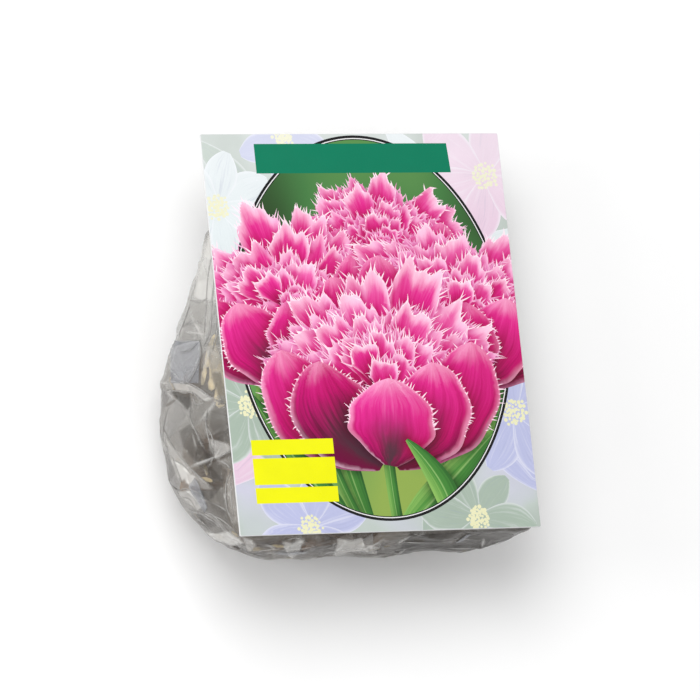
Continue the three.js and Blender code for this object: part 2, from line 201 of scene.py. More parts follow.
class Finish:
    """A material, or a node group, that is being put together. A colour is red, green and blue as printed."""

    def __init__(self, tree):
        self.tree = tree

    def feed(self, made, **inputs):
        """Feeds the inputs of a node, each by its name with _ for a space, or by i and its number."""
        for key, value in inputs.items():
            key = int(key[1:]) if key[1:].isdigit() else key.replace("_", " ")
            if isinstance(value, bpy.types.NodeSocket):
                self.tree.links.new(value, made.inputs[key])
            elif value is not None:
                made.inputs[key].default_value = value
        return made

    def node(self, kind, settings=None, **inputs):
        made = self.tree.nodes.new("ShaderNode" + kind)
        for key, value in (settings or {}).items():
            setattr(made, key, value)
        return self.feed(made, **inputs)

    def group(self, tree, **inputs):
        return self.node("Group", {"node_tree": tree}, **inputs).outputs

    def value(self, name):
        return self.node("Attribute", {"attribute_name": name}).outputs["Fac"]

    def vector(self, name):
        return self.node("Attribute", {"attribute_name": name}).outputs["Vector"]

    def place(self):
        """Where on the packet a place is, in metres."""
        return self.node("TexCoord").outputs["Object"]

    def point(self, x, y, z):
        return self.node("CombineXYZ", None, X=x, Y=y, Z=z).outputs[0]

    def parts(self, vector):
        return self.node("SeparateXYZ", None, Vector=vector).outputs

    def math(self, operation, first, second=None, third=None, clamp=False):
        settings = {"operation": operation, "use_clamp": clamp}
        return self.node("Math", settings, i0=first, i1=second, i2=third).outputs[0]

    def times(self, first, second):
        return self.math("MULTIPLY", first, second)

    def plus(self, value, share, rest):
        """A share of the value, added to the rest."""
        return self.math("MULTIPLY_ADD", value, share, rest)

    def mix(self, share, first, second, blend="MIX"):
        first, second = (linear(*ink) if isinstance(ink, tuple) else ink for ink in (first, second))
        settings = {"data_type": "RGBA", "blend_type": blend}
        return self.node("Mix", settings, i0=share, i6=first, i7=second).outputs[2]

    def tinted(self, colour, red, green, blue):
        """The colour with less light, by a share for each of red, green and blue."""
        tint = self.node("CombineColor", None, Red=red, Green=green, Blue=blue).outputs[0]
        return self.mix(1.0, colour, tint, "MULTIPLY")

    def noise(self, vector, scale, detail=3, roughness=0.55, distortion=0.0):
        return self.node("TexNoise", None, Vector=vector, Scale=scale, Detail=detail,
                         Roughness=roughness, Distortion=distortion).outputs["Fac"]

    def scaled(self, vector, scale):
        return self.node("Mapping", None, Vector=vector, Scale=scale).outputs["Vector"]

    def between(self, value, low, high, start=0.0, end=1.0):
        """The value's place from low to high, as a smooth step from start to end."""
        settings = {"interpolation_type": "SMOOTHSTEP"}
        return self.node("MapRange", settings, i0=value, i1=low, i2=high, i3=start, i4=end).outputs[0]

    def ramp(self, value, *stops):
        """A colour for each value, from stops that give a value and its colour."""
        made = self.node("ValToRGB", None, Fac=value)
        points = made.color_ramp.elements
        while len(points) < len(stops):
            points.new(0.5)
        for point, (place, colour) in zip(points, stops):
            point.position = place
            point.color = linear(*colour)
        return made.outputs["Color"]

    def streaks(self, vector, lines, wander):
        return self.group(STREAKS, Place=vector, Lines=lines, Wander=wander)[0]

    def bump(self, height, strength, distance):
        return self.node("Bump", None, Height=height, Strength=strength, Distance=distance).outputs[0]


def new_material(name):
    material = bpy.data.materials.new(name)
    material.use_nodes = True
    material.node_tree.nodes.clear()
    finish = Finish(material.node_tree)
    shader = finish.node("BsdfPrincipled")
    out = finish.node("OutputMaterial")
    finish.feed(out, Surface=shader.outputs["BSDF"])
    return material, finish, shader


def new_group(name, inputs, outputs):
    tree = bpy.data.node_groups.new(name, "ShaderNodeTree")
    for title, kind, default in inputs:
        socket = tree.interface.new_socket(name=title, in_out="INPUT", socket_type="NodeSocket" + kind)
        if default is not None:
            socket.default_value = default
    for title, kind in outputs:
        tree.interface.new_socket(name=title, in_out="OUTPUT", socket_type="NodeSocket" + kind)
    start = tree.nodes.new("NodeGroupInput")
    end = tree.nodes.new("NodeGroupOutput")
    return Finish(tree), start.outputs, end


# Effects that more than one material uses

def make_streaks_group():
    """Long fine lines that run one way, as in dry tunic, leaf and petal: a value from 0 to 1."""
    inputs = [("Place", "Vector", None), ("Lines", "Float", 40.0), ("Wander", "Float", 1.5)]
    finish, start, end = new_group("long_streaks", inputs, [("Streak", "Float")])
    parts = finish.parts(start["Place"])
    across = finish.times(parts["X"], start["Lines"])
    around = finish.times(parts["Y"], start["Lines"])
    place = finish.point(across, around, finish.times(parts["Z"], start["Wander"]))
    coarse = finish.noise(place, 0.35, 2, 0.5)
    fine = finish.noise(place, 1.0, 3, 0.6)
    finish.feed(end, Streak=finish.plus(fine, 0.6, finish.times(coarse, 0.4)))
    return finish.tree


def make_handling_group():
    """Marks of handling: faint rub marks and dust over a surface, from the place in metres."""
    inputs = [("Place", "Vector", None), ("Size", "Float", 60.0)]
    finish, start, end = new_group("handling_marks", inputs, [("Rub", "Float"), ("Dust", "Float")])
    cloud = finish.noise(start["Place"], start["Size"], 4, 0.6)
    speck = finish.noise(start["Place"], finish.times(start["Size"], 14.0), 2, 0.5)
    finish.feed(end, Rub=finish.between(cloud, 0.42, 0.72), Dust=finish.between(speck, 0.62, 0.75))
    return finish.tree


STREAKS = make_streaks_group()
HANDLING = make_handling_group()


# Bulbs

BULB_NAMES = sorted(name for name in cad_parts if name.startswith("bulb"))
BULB_SEED = 400
BULB_SIDES = 60
BULB_RINGS = 42
PLATE_RADIUS = 5.5 * MM
PLATE_RINGS = 4
RAY_SIDES = 48
ROUND_WAVES = 4  # the bulb's cross-section keeps this many waves of its CAD solid
TIP_SPAN = 2 * MM
TIP_CORNERS = 6  # the tip has at least this many corners of the CAD solid round it
PLATE_CORNERS = 13
FIRST_RING = 0.045  # where the skin's rings start and end, as shares of a half-wave up the axis
LAST_RING = 0.975
TIP_RINGS = ((0.99, 0.55 * MM), (1.0, 0.25 * MM))  # height and radius
PLATE_LIFT = 0.35 * MM
PLATE_HOLLOW = 0.3 * MM
ROOT_BUMPS = 9
RIB_WAVES = (7, 11, 17, 23)  # how many ribs of each kind go round the bulb
SKIN_INSET = 0.1 * MM
TUNIC_RIB = 0.16 * MM
ROOT_BUMP = 0.45 * MM


def bulb_axis(corners):
    """The middle of the bulb's basal plate, the way to its tip, and the tip."""
    long_way = np.linalg.svd(corners - corners.mean(0))[2][0]
    end = corners[np.argmax(corners @ long_way)]
    if (np.linalg.norm(corners - end, axis=1) < TIP_SPAN).sum() < TIP_CORNERS:
        long_way = -long_way
    tip = corners[np.argmax(corners @ long_way)]
    plate = corners[np.argsort(corners @ long_way)[:PLATE_CORNERS]]
    axis = np.linalg.svd(plate - plate.mean(0))[2][2]
    return plate.mean(0), axis if axis @ long_way > 0 else -axis, tip


def smooth_round(radii):
    """Takes the flats of the CAD solid's sides off a table of radii, ring by ring."""
    waves = np.fft.rfft(radii, axis=1)
    waves[:, ROUND_WAVES:] = 0
    finer = np.zeros((len(radii), BULB_SIDES // 2 + 1), complex)
    finer[:, :ROUND_WAVES] = waves[:, :ROUND_WAVES] * BULB_SIDES / RAY_SIDES
    return np.fft.irfft(finer, BULB_SIDES, axis=1)


def bulb_mesh(corners, faces, draw):
    """The bulb's skin: rings up its axis, ribbed like dry tunic, with its root scar and its dry tip."""
    solid = surface(corners, faces)
    base, axis, tip = bulb_axis(corners)
    height = (tip - base) @ axis
    lean = tip - base - axis * height
    side = unit(np.cross(axis, (0.3, 0.5, 0.8)))
    other = np.cross(axis, side)

    def heart(share):
        return base + axis * height * share + lean * share ** 3
    shares = 0.5 - 0.5 * np.cos(np.pi * np.linspace(FIRST_RING, LAST_RING, BULB_RINGS))
    radii = np.zeros((BULB_RINGS, RAY_SIDES))
    for ring, share in enumerate(shares):
        for step in range(RAY_SIDES):
            turn = 2 * math.pi * step / RAY_SIDES
            way = Vector(side * math.cos(turn) + other * math.sin(turn))
            radii[ring, step] = solid.ray_cast(Vector(heart(share)), way)[3] or 0
    radii = smooth_round(radii)
    turns = 2 * np.pi * np.arange(BULB_SIDES) / BULB_SIDES
    ways = np.outer(np.cos(turns), side) + np.outer(np.sin(turns), other)
    points, along = [], []
    for ring in range(PLATE_RINGS):
        share = ring / PLATE_RINGS
        bumps = ROOT_BUMP * share * np.sin(turns * ROOT_BUMPS + draw.uniform(0, 6))
        bumps = bumps * math.sin(math.pi * share)
        rise = np.outer(PLATE_LIFT - PLATE_HOLLOW * (1 - share) + bumps, axis)
        points.append(base + ways * PLATE_RADIUS * max(share, 0.02) + rise)
        along.append(-0.05 + 0.05 * share)
    ribs = sum(np.sin(turns[None, :] * waves + draw.uniform(0, 6) + shares[:, None] * draw.uniform(-2, 2))
               for waves in RIB_WAVES) / len(RIB_WAVES)
    for ring, share in enumerate(shares):
        fade = math.sin(math.pi * min(share * 1.1, 1))
        reach = radii[ring] + TUNIC_RIB * fade * ribs[ring] - SKIN_INSET
        points.append(heart(share) + ways * reach[:, None])
        along.append(share)
    for share, radius in TIP_RINGS:
        points.append(heart(share) + ways * radius)
        along.append(share)
    rings = len(points)
    skin = np.stack([np.tile(np.cos(turns), rings), np.tile(np.sin(turns), rings),
                     np.repeat(along, BULB_SIDES)], 1)
    return np.concatenate(points), ring_faces(rings, BULB_SIDES), skin


def ring_faces(rings, sides):
    """Faces between rings of corners, with both ends closed."""
    faces = [tuple(reversed(range(sides)))]
    for ring in range(rings - 1):
        for step in range(sides):
            after = (step + 1) % sides
            low, high = ring * sides, (ring + 1) * sides
            faces.append((low + step, low + after, high + after, high + step))
    faces.append(tuple(range((rings - 1) * sides, rings * sides)))
    return faces


def tunic_material():
    """Dry brown tulip tunic with long fine lines, torn open in places over the cream flesh."""
    material, finish, shader = new_material("bulb_tunic")
    skin = finish.vector("skin")
    own = finish.value("own_number")
    shift = finish.point(own, own, own)
    place = finish.node("VectorMath", {"operation": "ADD"}, i0=skin, i1=shift).outputs[0]
    lines = finish.streaks(place, 9.0, 1.6)
    patches = finish.noise(finish.scaled(place, (1, 1, 2)), 1.4, 3, 0.6)
    along = finish.parts(skin)["Z"]
    brown = finish.ramp(finish.plus(lines, 0.7, finish.times(patches, 0.4)), (0.32, (36, 27, 21)),
                        (0.46, (64, 47, 35)), (0.6, (92, 69, 51)), (0.76, (134, 106, 80)))
    brown = finish.mix(finish.between(along, 0.72, 0.98), brown, (150, 112, 76))
    edge = finish.plus(lines, 0.12, finish.value("torn"))
    bare = finish.between(edge, 0.60, 0.615)
    rim = finish.math("SUBTRACT", finish.between(edge, 0.57, 0.60), bare, clamp=True)
    flesh = finish.mix(finish.between(lines, 0.4, 0.75), (226, 208, 164), (196, 168, 116))
    colour = finish.mix(bare, brown, flesh)
    colour = finish.mix(finish.times(rim, 0.7), colour, (60, 36, 22))
    grain = finish.noise(finish.scaled(place, (1, 1, 6)), 6, 3)
    cork = finish.mix(grain, (74, 52, 36), (150, 120, 86))
    colour = finish.mix(finish.between(along, 0.03, -0.005), colour, cork)
    marks = finish.group(HANDLING, Place=finish.place(), Size=70.0)
    colour = finish.mix(finish.times(marks["Dust"], 0.25), colour, (170, 150, 126))
    rough = finish.plus(marks["Rub"], 0.2, finish.plus(lines, 0.25, 0.25))
    height = finish.math("SUBTRACT", lines, finish.times(bare, 0.8))
    finish.feed(shader, Base_Color=colour, Roughness=rough, Normal=finish.bump(height, 0.55, 0.0005))
    return material


def make_bulbs(material):
    """Every bulb's skin, torn open in its own places. What comes back is the heap that the film lies on."""
    skins = []
    for number, name in enumerate(BULB_NAMES):
        draw = random.Random(BULB_SEED + number)
        points, faces, skin = bulb_mesh(*node_surface(name), draw)
        piece = add_piece(name + "_skin", points, faces, material, [name])
        own = draw.uniform(0, 40)
        openness = draw.choice((-0.12, -0.06, -0.02, 0.03))
        torn = []
        for x, y, z in skin:
            spot = Vector((x * 0.8 + own, y * 0.8, z * 1.3))
            shoulder = math.exp(-((z - 0.62) / 0.24) ** 2)
            torn.append(0.36 + 0.26 * noise_at(spot) + openness + 0.12 * shoulder)
        give_values(piece, {"skin": skin}, "FLOAT_VECTOR")
        give_values(piece, {"own_number": np.full(len(points), own), "torn": torn})
        skins.append((points, faces))
    return surface(*joined(skins))


def noise_at(spot):
    """Soft noise from -1 to 1 at a place."""
    return noise.noise(spot) + 0.5 * noise.noise(spot * 2.1) + 0.25 * noise.noise(spot * 4.3)


# Film pouch

FILM_SHELL = 0.14 * MM
CAD_FILM_THICKNESS = 0.6 * MM
NARROW_FACE = 1.12 * CAD_FILM_THICKNESS  # the CAD film's rim has only faces that are narrower than this
BULB_CLEARANCE = 0.3 * MM
BULB_REACH = 4 * MM  # how deep in a bulb the film may be found
TABLE_GAP = 0.05 * MM
FLAT_TOP_ROOM = 1.2 * MM  # the film's depth behind the card's back from which it is creased
FULL_ROOM = 5 * MM
CONTACT_START = 0.7 * MM  # the film is clearest nearer to a bulb than this, and cloudy beyond the end
CONTACT_END = 2.6 * MM
CONTACT_REACH = 6 * MM
SWELL = 1.5 * MM  # what smoothing and flattening take off the pouch
SWELL_DEPTH = 3 * MM
FLAT_REACH = 1.6 * MM  # the film goes all the way to a flat that is this near, and stays put twice as far off
FINE_SIDE = 1.6 * MM  # where the photograph shows the film, longer triangles are split once more
FOLDED = 0.8  # the film has pleats and flakes where it has at least this share of its full folds
TAUT = 0.55  # how much calmer the film is where nothing lies behind it
EMPTY_START = 9 * MM
EMPTY_END = 40 * MM
CREASE_REACH = 7 * MM
CREASE_FACING = 0.2  # a crease lifts only film that looks its way by at least this cosine
# A crease's white is crease whitening and painted highlight
CREASE_WHITE = 0.7 * MM  # a crease as high as this is at its whitest
LONG_CREASES_RARE = 1.5
OUTWARD_CREASES = 0.6
INWARD_HEIGHT = -0.7
PUSH_RANGE = (-0.6, 1.2)
SOFTENING = (0.5, 0.7)
FILM_SEED = 77
# Above this share a crease is painted white, as whitening and painted highlight
CREST_START = 0.7  # a crease whitens above this share of its height
PHOTO_CREASE = (1.1, 1.2 * MM, 3.2 * MM)  # its height as a share of the fold's, its steep and its gentle side
CREASE_SPARE = 0.15

# The flats between the film's sharp folds, the broad ones first: how far apart their corners are, and how far
# those are pushed in or out, in millimetres
FLAT_SIZES = ((13, 1.3), (5.5, 0.42))

# The creases of each size: how many, the shortest and longest, the steep side's width, the gentle side's as
# a multiple of it, and the height. Lengths are in millimetres.
CREASE_SIZES = (
    (60, (22, 60), (2.0, 4.5), (1.2, 2.6), (0.6, 1.4)),
    (260, (8, 30), (1.0, 2.6), (1.0, 3.0), (0.2, 0.7)),
)

# The folds that the photograph shows, each along a line of its pixels, and each fold's height in millimetres
PHOTO_FOLDS = {
    "seal_outer": (((213, 250), (208, 275), (206, 305), (204, 338)), 0.5),
    "seal_middle": (((216, 268), (212, 300), (210, 330), (204, 346)), 0.6),
    "seal_inner": (((219, 300), (217, 330), (212, 352)), 0.4),
    "shoulder_upper": (((190, 300), (199, 302), (208, 298)), 0.4),
    "shoulder_lower": (((183, 326), (194, 322), (205, 325)), 0.4),
    "flap_top": (((178, 345), (186, 341), (200, 340)), 1.3),
    "flap_right": (((200, 340), (201, 355), (195, 371), (187, 383), (182, 381)), 1.7),
    "flap_left": (((182, 381), (176, 375), (170, 367)), 1.3),
    "flap_fan": (((200, 341), (190, 350), (181, 352)), 1.1),
    "gusset_band": (((170, 380), (184, 382), (198, 388), (212, 398), (228, 405)), 1.4),
    "gusset_under": (((166, 390), (176, 391), (192, 393), (204, 402)), 0.5),
    "quad_diagonal": (((192, 392), (196, 404), (206, 402)), 0.5),
    "belly_left": (((191, 404), (190, 418), (196, 432), (206, 452)), 0.5),
    "belly_right": (((208, 408), (206, 424), (209, 440), (215, 459)), 0.9),
    "belly_cross": (((215, 459), (224, 454), (232, 449)), 0.5),
    "belly_out": (((215, 459), (226, 464), (231, 470)), 0.4),
    "belly_hook": (((206, 425), (212, 437), (214, 452)), 0.5),
    "left_long": (((163, 428), (176, 452), (192, 470), (214, 489)), 0.5),
    "left_short": (((172, 456), (177, 470), (182, 482)), 0.7),
    "glint_edge": (((174, 460), (184, 466), (191, 474)), 0.7),
    "heel_arc": (((178, 491), (186, 489), (198, 493), (212, 503)), 1.5),
    "heel_inner": (((182, 497), (190, 500), (196, 509)), 0.5),
    "heel_under": (((190, 510), (202, 514), (218, 524)), 0.5),
    "leaf_left": (((231, 470), (226, 486), (227, 508), (236, 530)), 0.8),
    "leaf_right": (((232, 472), (237, 495), (240, 524)), 0.6),
    "leaf_rib": (((231, 478), (231, 500), (234, 518)), 0.3),
    "corner_a": (((203, 512), (214, 516), (231, 534)), 0.6),
    "corner_b": (((197, 517), (210, 527), (226, 545)), 0.6),
    "corner_c": (((206, 513), (222, 520), (238, 534)), 0.4),
    "corner_d": (((205, 531), (222, 533), (241, 541)), 0.5),
    "corner_e": (((213, 540), (226, 541), (246, 552)), 0.5),
    "hem_a": (((250, 538), (254, 546), (252, 556)), 0.4),
    "hem_b": (((283, 541), (288, 549), (291, 558)), 0.6),
    "hem_c": (((291, 539), (292, 548), (296, 557)), 0.4),
    "hem_d": (((283, 541), (296, 538), (308, 542)), 0.4),
    "hem_e": (((308, 541), (318, 547), (326, 556)), 0.4),
    "hem_f": (((336, 538), (333, 547), (338, 556)), 0.6),
    "hem_g": (((337, 538), (352, 540), (363, 537)), 0.4),
    "hem_h": (((362, 538), (364, 547), (372, 556)), 0.6),
    "hem_i": (((364, 546), (378, 545), (388, 552)), 0.4),
    "hem_j": (((412, 533), (419, 535), (428, 532)), 0.5),
    "hem_k": (((430, 541), (462, 539), (500, 543)), 0.3),
}

# Light and shade painted on the film, facet by facet, by outlines in the photograph's pixels: below nought
# painted shade, a dark brown film that covers more of what lies behind it, and above nought cloudier film
# with painted highlight, up to white at 1
PHOTO_FACETS = {
    "neck": (((209, 238), (216, 240), (219, 300), (200, 300), (194, 296)), 0.7),
    "neck_streak": (((200, 267), (207, 264), (206, 278), (199, 281)), 0.4),
    "shoulder": (((190, 300), (205, 300), (205, 338), (180, 342)), -0.3),
    "flap": (((178, 345), (200, 340), (201, 356), (195, 371), (186, 383), (179, 378), (170, 367)), 0.45),
    "cream_strip": (((206, 343), (214, 343), (220, 366), (228, 402), (220, 405), (212, 378)), -0.6),
    "beside_seal": (((208, 338), (220, 338), (224, 372), (212, 372)), -0.35),
    "under_flap": (((188, 385), (197, 370), (204, 378), (213, 394), (198, 388)), -0.35),
    "gusset": (((170, 380), (184, 382), (198, 388), (212, 398), (204, 402), (192, 393), (176, 390)), 0.7),
    "bulb_segment": (((170, 390), (191, 393), (191, 405), (187, 411), (179, 407), (173, 400)), -0.75),
    "quad": (((192, 393), (206, 402), (205, 416), (195, 421)), -0.3),
    "bulb_right": (((211, 410), (227, 407), (229, 427), (216, 438), (209, 427)), -0.55),
    "left_wall": (((156, 380), (168, 390), (188, 412), (190, 420), (178, 430), (166, 434), (156, 420)), 0.1),
    "bulb_large": (((179, 431), (190, 424), (199, 432), (205, 450), (228, 470), (226, 484), (212, 478),
                    (196, 463), (183, 447)), -0.62),
    "belly_quad": (((208, 438), (228, 444), (232, 450), (215, 460)), 0.6),
    "left_low": (((165, 440), (178, 452), (192, 470), (214, 490), (196, 488), (176, 474)), 0.4),
    "glint": (((174, 460), (184, 465), (191, 473), (182, 481)), 1.0),
    "glint_low": (((184, 473), (195, 476), (194, 486), (186, 483)), 1.0),
    "heel": (((177, 493), (190, 490), (206, 501), (198, 511)), 0.65),
    "heel_dark": (((190, 512), (204, 515), (218, 525), (206, 531), (194, 522)), -0.5),
    "leaf": (((229, 474), (236, 480), (240, 522), (233, 524), (226, 500)), 0.2),
    "leaf_side": (((213, 490), (226, 488), (228, 512), (222, 516)), -0.3),
    "corner_white": (((205, 532), (216, 534), (228, 531), (244, 543), (232, 546), (216, 541)), 1.0),
    "hem_white": (((244, 539), (251, 540), (256, 545), (250, 552), (246, 548)), 0.7),
    "hem_brown": (((258, 541), (268, 543), (273, 548), (272, 560), (262, 558)), -0.35),
    "hem_fan": (((283, 541), (292, 544), (304, 539), (300, 550), (292, 560), (286, 552)), 0.8),
    "hem_grey": (((304, 541), (318, 546), (330, 540), (328, 552), (306, 558)), -0.2),
    "hem_facet": (((338, 539), (352, 541), (362, 538), (366, 547), (374, 553), (352, 552), (334, 557)), 0.75),
    "hem_after": (((366, 545), (378, 547), (390, 552), (380, 556), (370, 553)), 0.7),
    "hem_middle": (((384, 536), (420, 534), (416, 556), (376, 556)), -0.35),
    "hem_right": (((410, 533), (542, 526), (530, 542), (500, 548), (450, 552), (396, 556)), -0.85),
}
FACET_BLUR = 2.2  # pixels

# What the film's material reads: how white a fold is, as crease whitening and painted highlight, whether the
# film is doubled, the flat's own haze, how closely the film lies on a bulb, the light and shade painted on it
# facet by facet, and how empty the pouch is behind it
FILM_VALUES = ("crest", "doubled", "flat_tone", "contact", "painted_light_shade", "empty")

# The card's corners in the photograph
PHOTO_CARD = ((200, 134), (497, 133), (541, 527), (240, 536))

# Film that is folded double and lies flat on the pouch, each by its corners in the photograph's pixels
PHOTO_PLEATS = {
    "gusset_flap": ((178, 346), (200, 341), (200, 355), (195, 371), (187, 384), (180, 380), (171, 369)),
}
PLEAT_LIFT = 0.35 * MM
RIDGE_SEED = 21
RIDGE_WIDTH = 0.55 * MM
RIDGE_HEIGHTS = (0.12, 0.4)
RIDGE_ENDS = (0.04, 0.96)  # the part of a half-wave that tapers a ridge
SHORTEST_RIDGE = 5
PATH_STEPS = 9
# Across, up and white, the white being crease whitening and painted highlight
RIDGE_SHAPE = ((-1, -0.15, 0.1), (-0.4, 0.6, 0.7), (0, 1, 1), (0.4, 0.6, 0.7), (1, -0.15, 0.1))
RIDGE_SHARE = 0.4
RIDGE_SHARE_SHOWN = 0.12  # fewer where the photograph's camera sees them, because its own folds are there
SHOWN_SPAN = 2 * MM
PHOTO_RIDGE = 0.5  # a ridge's height as a share of the photograph's fold
RIDGE_JUMP = 5 * MM
RIDGE_FLOOR = 2 * MM  # no fold stands up under the pouch, where it lies on the table
SHARP_FOLD = math.cos(math.radians(20))
PLEAT_GRID = 1.1 * MM
PLEAT_GRID_PIXELS = 2.0
PLEAT_SEED = 5
PLEAT_LENGTHS = (9, 22)
PLEAT_WIDTHS = (3, 7)
# A pleat's rim is painted white, as the whitening of the fold and a painted highlight
PLEAT_WHITE = 0.42
PLEAT_WHITE_SPAN = 0.35  # grid steps
PLEAT_CURL = 0.2 * MM
PLEAT_RIGHT = 0.2  # a spare pleat lies where the film looks right or away by these, and not underneath
PLEAT_FAR = 0.3
PLEAT_UNDER = -0.8
SPARE_PLEATS = 12  # on the sides that the photograph doesn't show
OUTSIDE_SPAN = 60 * MM
PATCH_HEIGHT = 8 * MM
PATCH_DEPTH = 20 * MM


def outer_skin(corners, faces):
    """Only the outer skin of the CAD film: what joins its lowest corner without crossing the rim."""
    lengths = side_lengths(corners, faces)
    widths = np.linalg.norm(face_normals(corners, faces), axis=1) / lengths.max(1)
    rim = (lengths.min(1) < NARROW_FACE) & (widths < NARROW_FACE)
    sides = side_pairs(faces).reshape(3, -1, 2)
    sharing = {}
    for face in np.flatnonzero(~rim).tolist():
        for pair in sides[:, face].tolist():
            sharing.setdefault(tuple(pair), []).append(face)
    beside = [[] for _ in faces]
    for pair in sharing.values():
        if len(pair) == 2:
            beside[pair[0]].append(pair[1])
            beside[pair[1]].append(pair[0])
    lowest = np.argmin(corners[:, 2])
    waiting = [int(np.flatnonzero((faces == lowest).any(1) & ~rim)[0])]
    reached = set(waiting)
    while waiting:
        for face in beside[waiting.pop()]:
            if face not in reached:
                reached.add(face)
                waiting.append(face)
    used, renumbered = np.unique(faces[sorted(reached)], return_inverse=True)
    return corners[used], renumbered.reshape(-1, 3)


def halve_edges(corners, faces, soften):
    """Each triangle in four. The old corners move part of the way to the average of their neighbours."""
    edges, place = np.unique(side_pairs(faces), axis=0, return_inverse=True)
    place = place.ravel()
    inner = np.bincount(place, minlength=len(edges)) == 2
    first, second, third = np.split(place + len(corners), 3)
    a, b, c = faces.T
    quarters = ((a, first, third), (first, b, second), (third, second, c), (first, second, third))
    finer = np.concatenate([np.stack(quarter, 1) for quarter in quarters])
    middles = corners[edges].mean(1)
    opposite = np.zeros_like(middles)
    for far_corner, part in zip((c, a, b), np.split(place, 3)):
        np.add.at(opposite, part, corners[far_corner])
    rounded = middles * 0.75 + opposite * 0.125
    middles[inner] += soften * (rounded[inner] - middles[inner])
    total = np.zeros_like(corners)
    number = np.zeros(len(corners))
    for end, far in ((0, 1), (1, 0)):
        np.add.at(total, edges[:, end], corners[edges[:, far]])
        np.add.at(number, edges[:, end], 1)
    moved = corners * 0.625 + total / number[:, None] * 0.375
    rim = edges[~inner].ravel()
    moved[rim] = corners[rim]
    return np.concatenate([corners + soften * (moved - corners), middles]), finer


def split_where(corners, faces, chosen):
    """Splits the chosen triangles in four, and their neighbours so that no corner hangs on a side."""
    edges, place = np.unique(side_pairs(faces), axis=0, return_inverse=True)
    place = place.reshape(3, -1).T
    split = np.zeros(len(edges), bool)
    split[place[chosen]] = True
    middle = np.cumsum(split) - 1 + len(corners)
    made = []
    for face, sides in zip(faces.tolist(), place.tolist()):
        cuts = [bool(split[side]) for side in sides]
        first = cuts.index(True) if sum(cuts) == 1 else (cuts.index(False) + 1) % 3 if sum(cuts) == 2 else 0
        a, b, c = (face[(first + step) % 3] for step in range(3))
        ab, bc, ca = (int(middle[sides[(first + step) % 3]]) for step in range(3))
        if sum(cuts) == 0:
            made.append((a, b, c))
        elif sum(cuts) == 1:
            made += [(a, ab, c), (ab, b, c)]
        elif sum(cuts) == 2:
            made += [(ab, b, bc), (a, ab, bc), (a, bc, c)]
        else:
            made += [(a, ab, ca), (ab, b, bc), (ca, bc, c), (ab, bc, ca)]
    return np.concatenate([corners, corners[edges[split]].mean(1)]), np.array(made)


def spread_seeds(corners, spacing, draw):
    """Corners of the film that are at least a spacing apart."""
    cells, seeds = {}, []
    around = [(x, y, z) for x in (-1, 0, 1) for y in (-1, 0, 1) for z in (-1, 0, 1)]
    for index in draw.permutation(len(corners)):
        own = tuple(int(value) for value in corners[index] // spacing)
        close = (seed for step in around for seed in cells.get(tuple(np.add(own, step)), ()))
        if all(np.linalg.norm(corners[seed] - corners[index]) >= spacing for seed in close):
            cells.setdefault(own, []).append(index)
            seeds.append(index)
    return seeds


def nearest_seeds(corners, faces, seeds):
    """The seed that is nearest to each corner, measured along the film."""
    pairs = np.unique(side_pairs(faces), axis=0)
    lengths = np.linalg.norm(corners[pairs[:, 0]] - corners[pairs[:, 1]], axis=1)
    beside = [[] for _ in corners]
    for (a, b), length in zip(pairs.tolist(), lengths.tolist()):
        beside[a].append((b, length))
        beside[b].append((a, length))
    owner = [-1] * len(corners)
    waiting = [(0.0, int(corner), number) for number, corner in enumerate(seeds)]
    heapq.heapify(waiting)
    while waiting:
        reach, corner, number = heapq.heappop(waiting)
        if owner[corner] >= 0:
            continue
        owner[corner] = number
        for after, length in beside[corner]:
            if owner[after] < 0:
                heapq.heappush(waiting, (reach + length, after, number))
    return np.array(owner)


def fold_into_flats(corners, faces, spacing, push, room, draw):
    """Moves the film onto flat triangles between scattered corners, with sharp folds between them."""
    normals = corner_normals(corners, faces)
    seeds = spread_seeds(corners, spacing, draw)
    triples = nearest_seeds(corners, faces, seeds)[faces]
    triples = triples[(triples != np.roll(triples, 1, axis=1)).all(1)]
    order = (np.argmin(triples, 1)[:, None] + np.arange(3)) % 3
    flats = np.unique(np.take_along_axis(triples, order, 1), axis=0)
    pushed = draw.uniform(*PUSH_RANGE, len(seeds)) * push
    places = corners[seeds] + normals[seeds] * pushed[:, None]
    folded = surface(places, flats)
    moved = corners.copy()
    for index in np.flatnonzero(room):
        off = np.array(folded.find_nearest(Vector(corners[index]))[0]) - corners[index]
        share = min(max(2 - np.linalg.norm(off) / FLAT_REACH, 0), 1) * room[index]
        moved[index] += off * share
    return moved, folded, sharp_folds(places, flats)


def sharp_folds(places, flats):
    """The sides of the flats at which the film turns sharply."""
    normals = unit(face_normals(places, flats))
    flat_of, folds = {}, []
    for number, flat in enumerate(flats):
        for a, b in zip(flat, np.roll(flat, -1)):
            other = flat_of.pop((b, a), None)
            if other is None:
                flat_of[(a, b)] = number
            elif normals[number] @ normals[other] < SHARP_FOLD:
                folds.append((places[a], places[b]))
    return folds


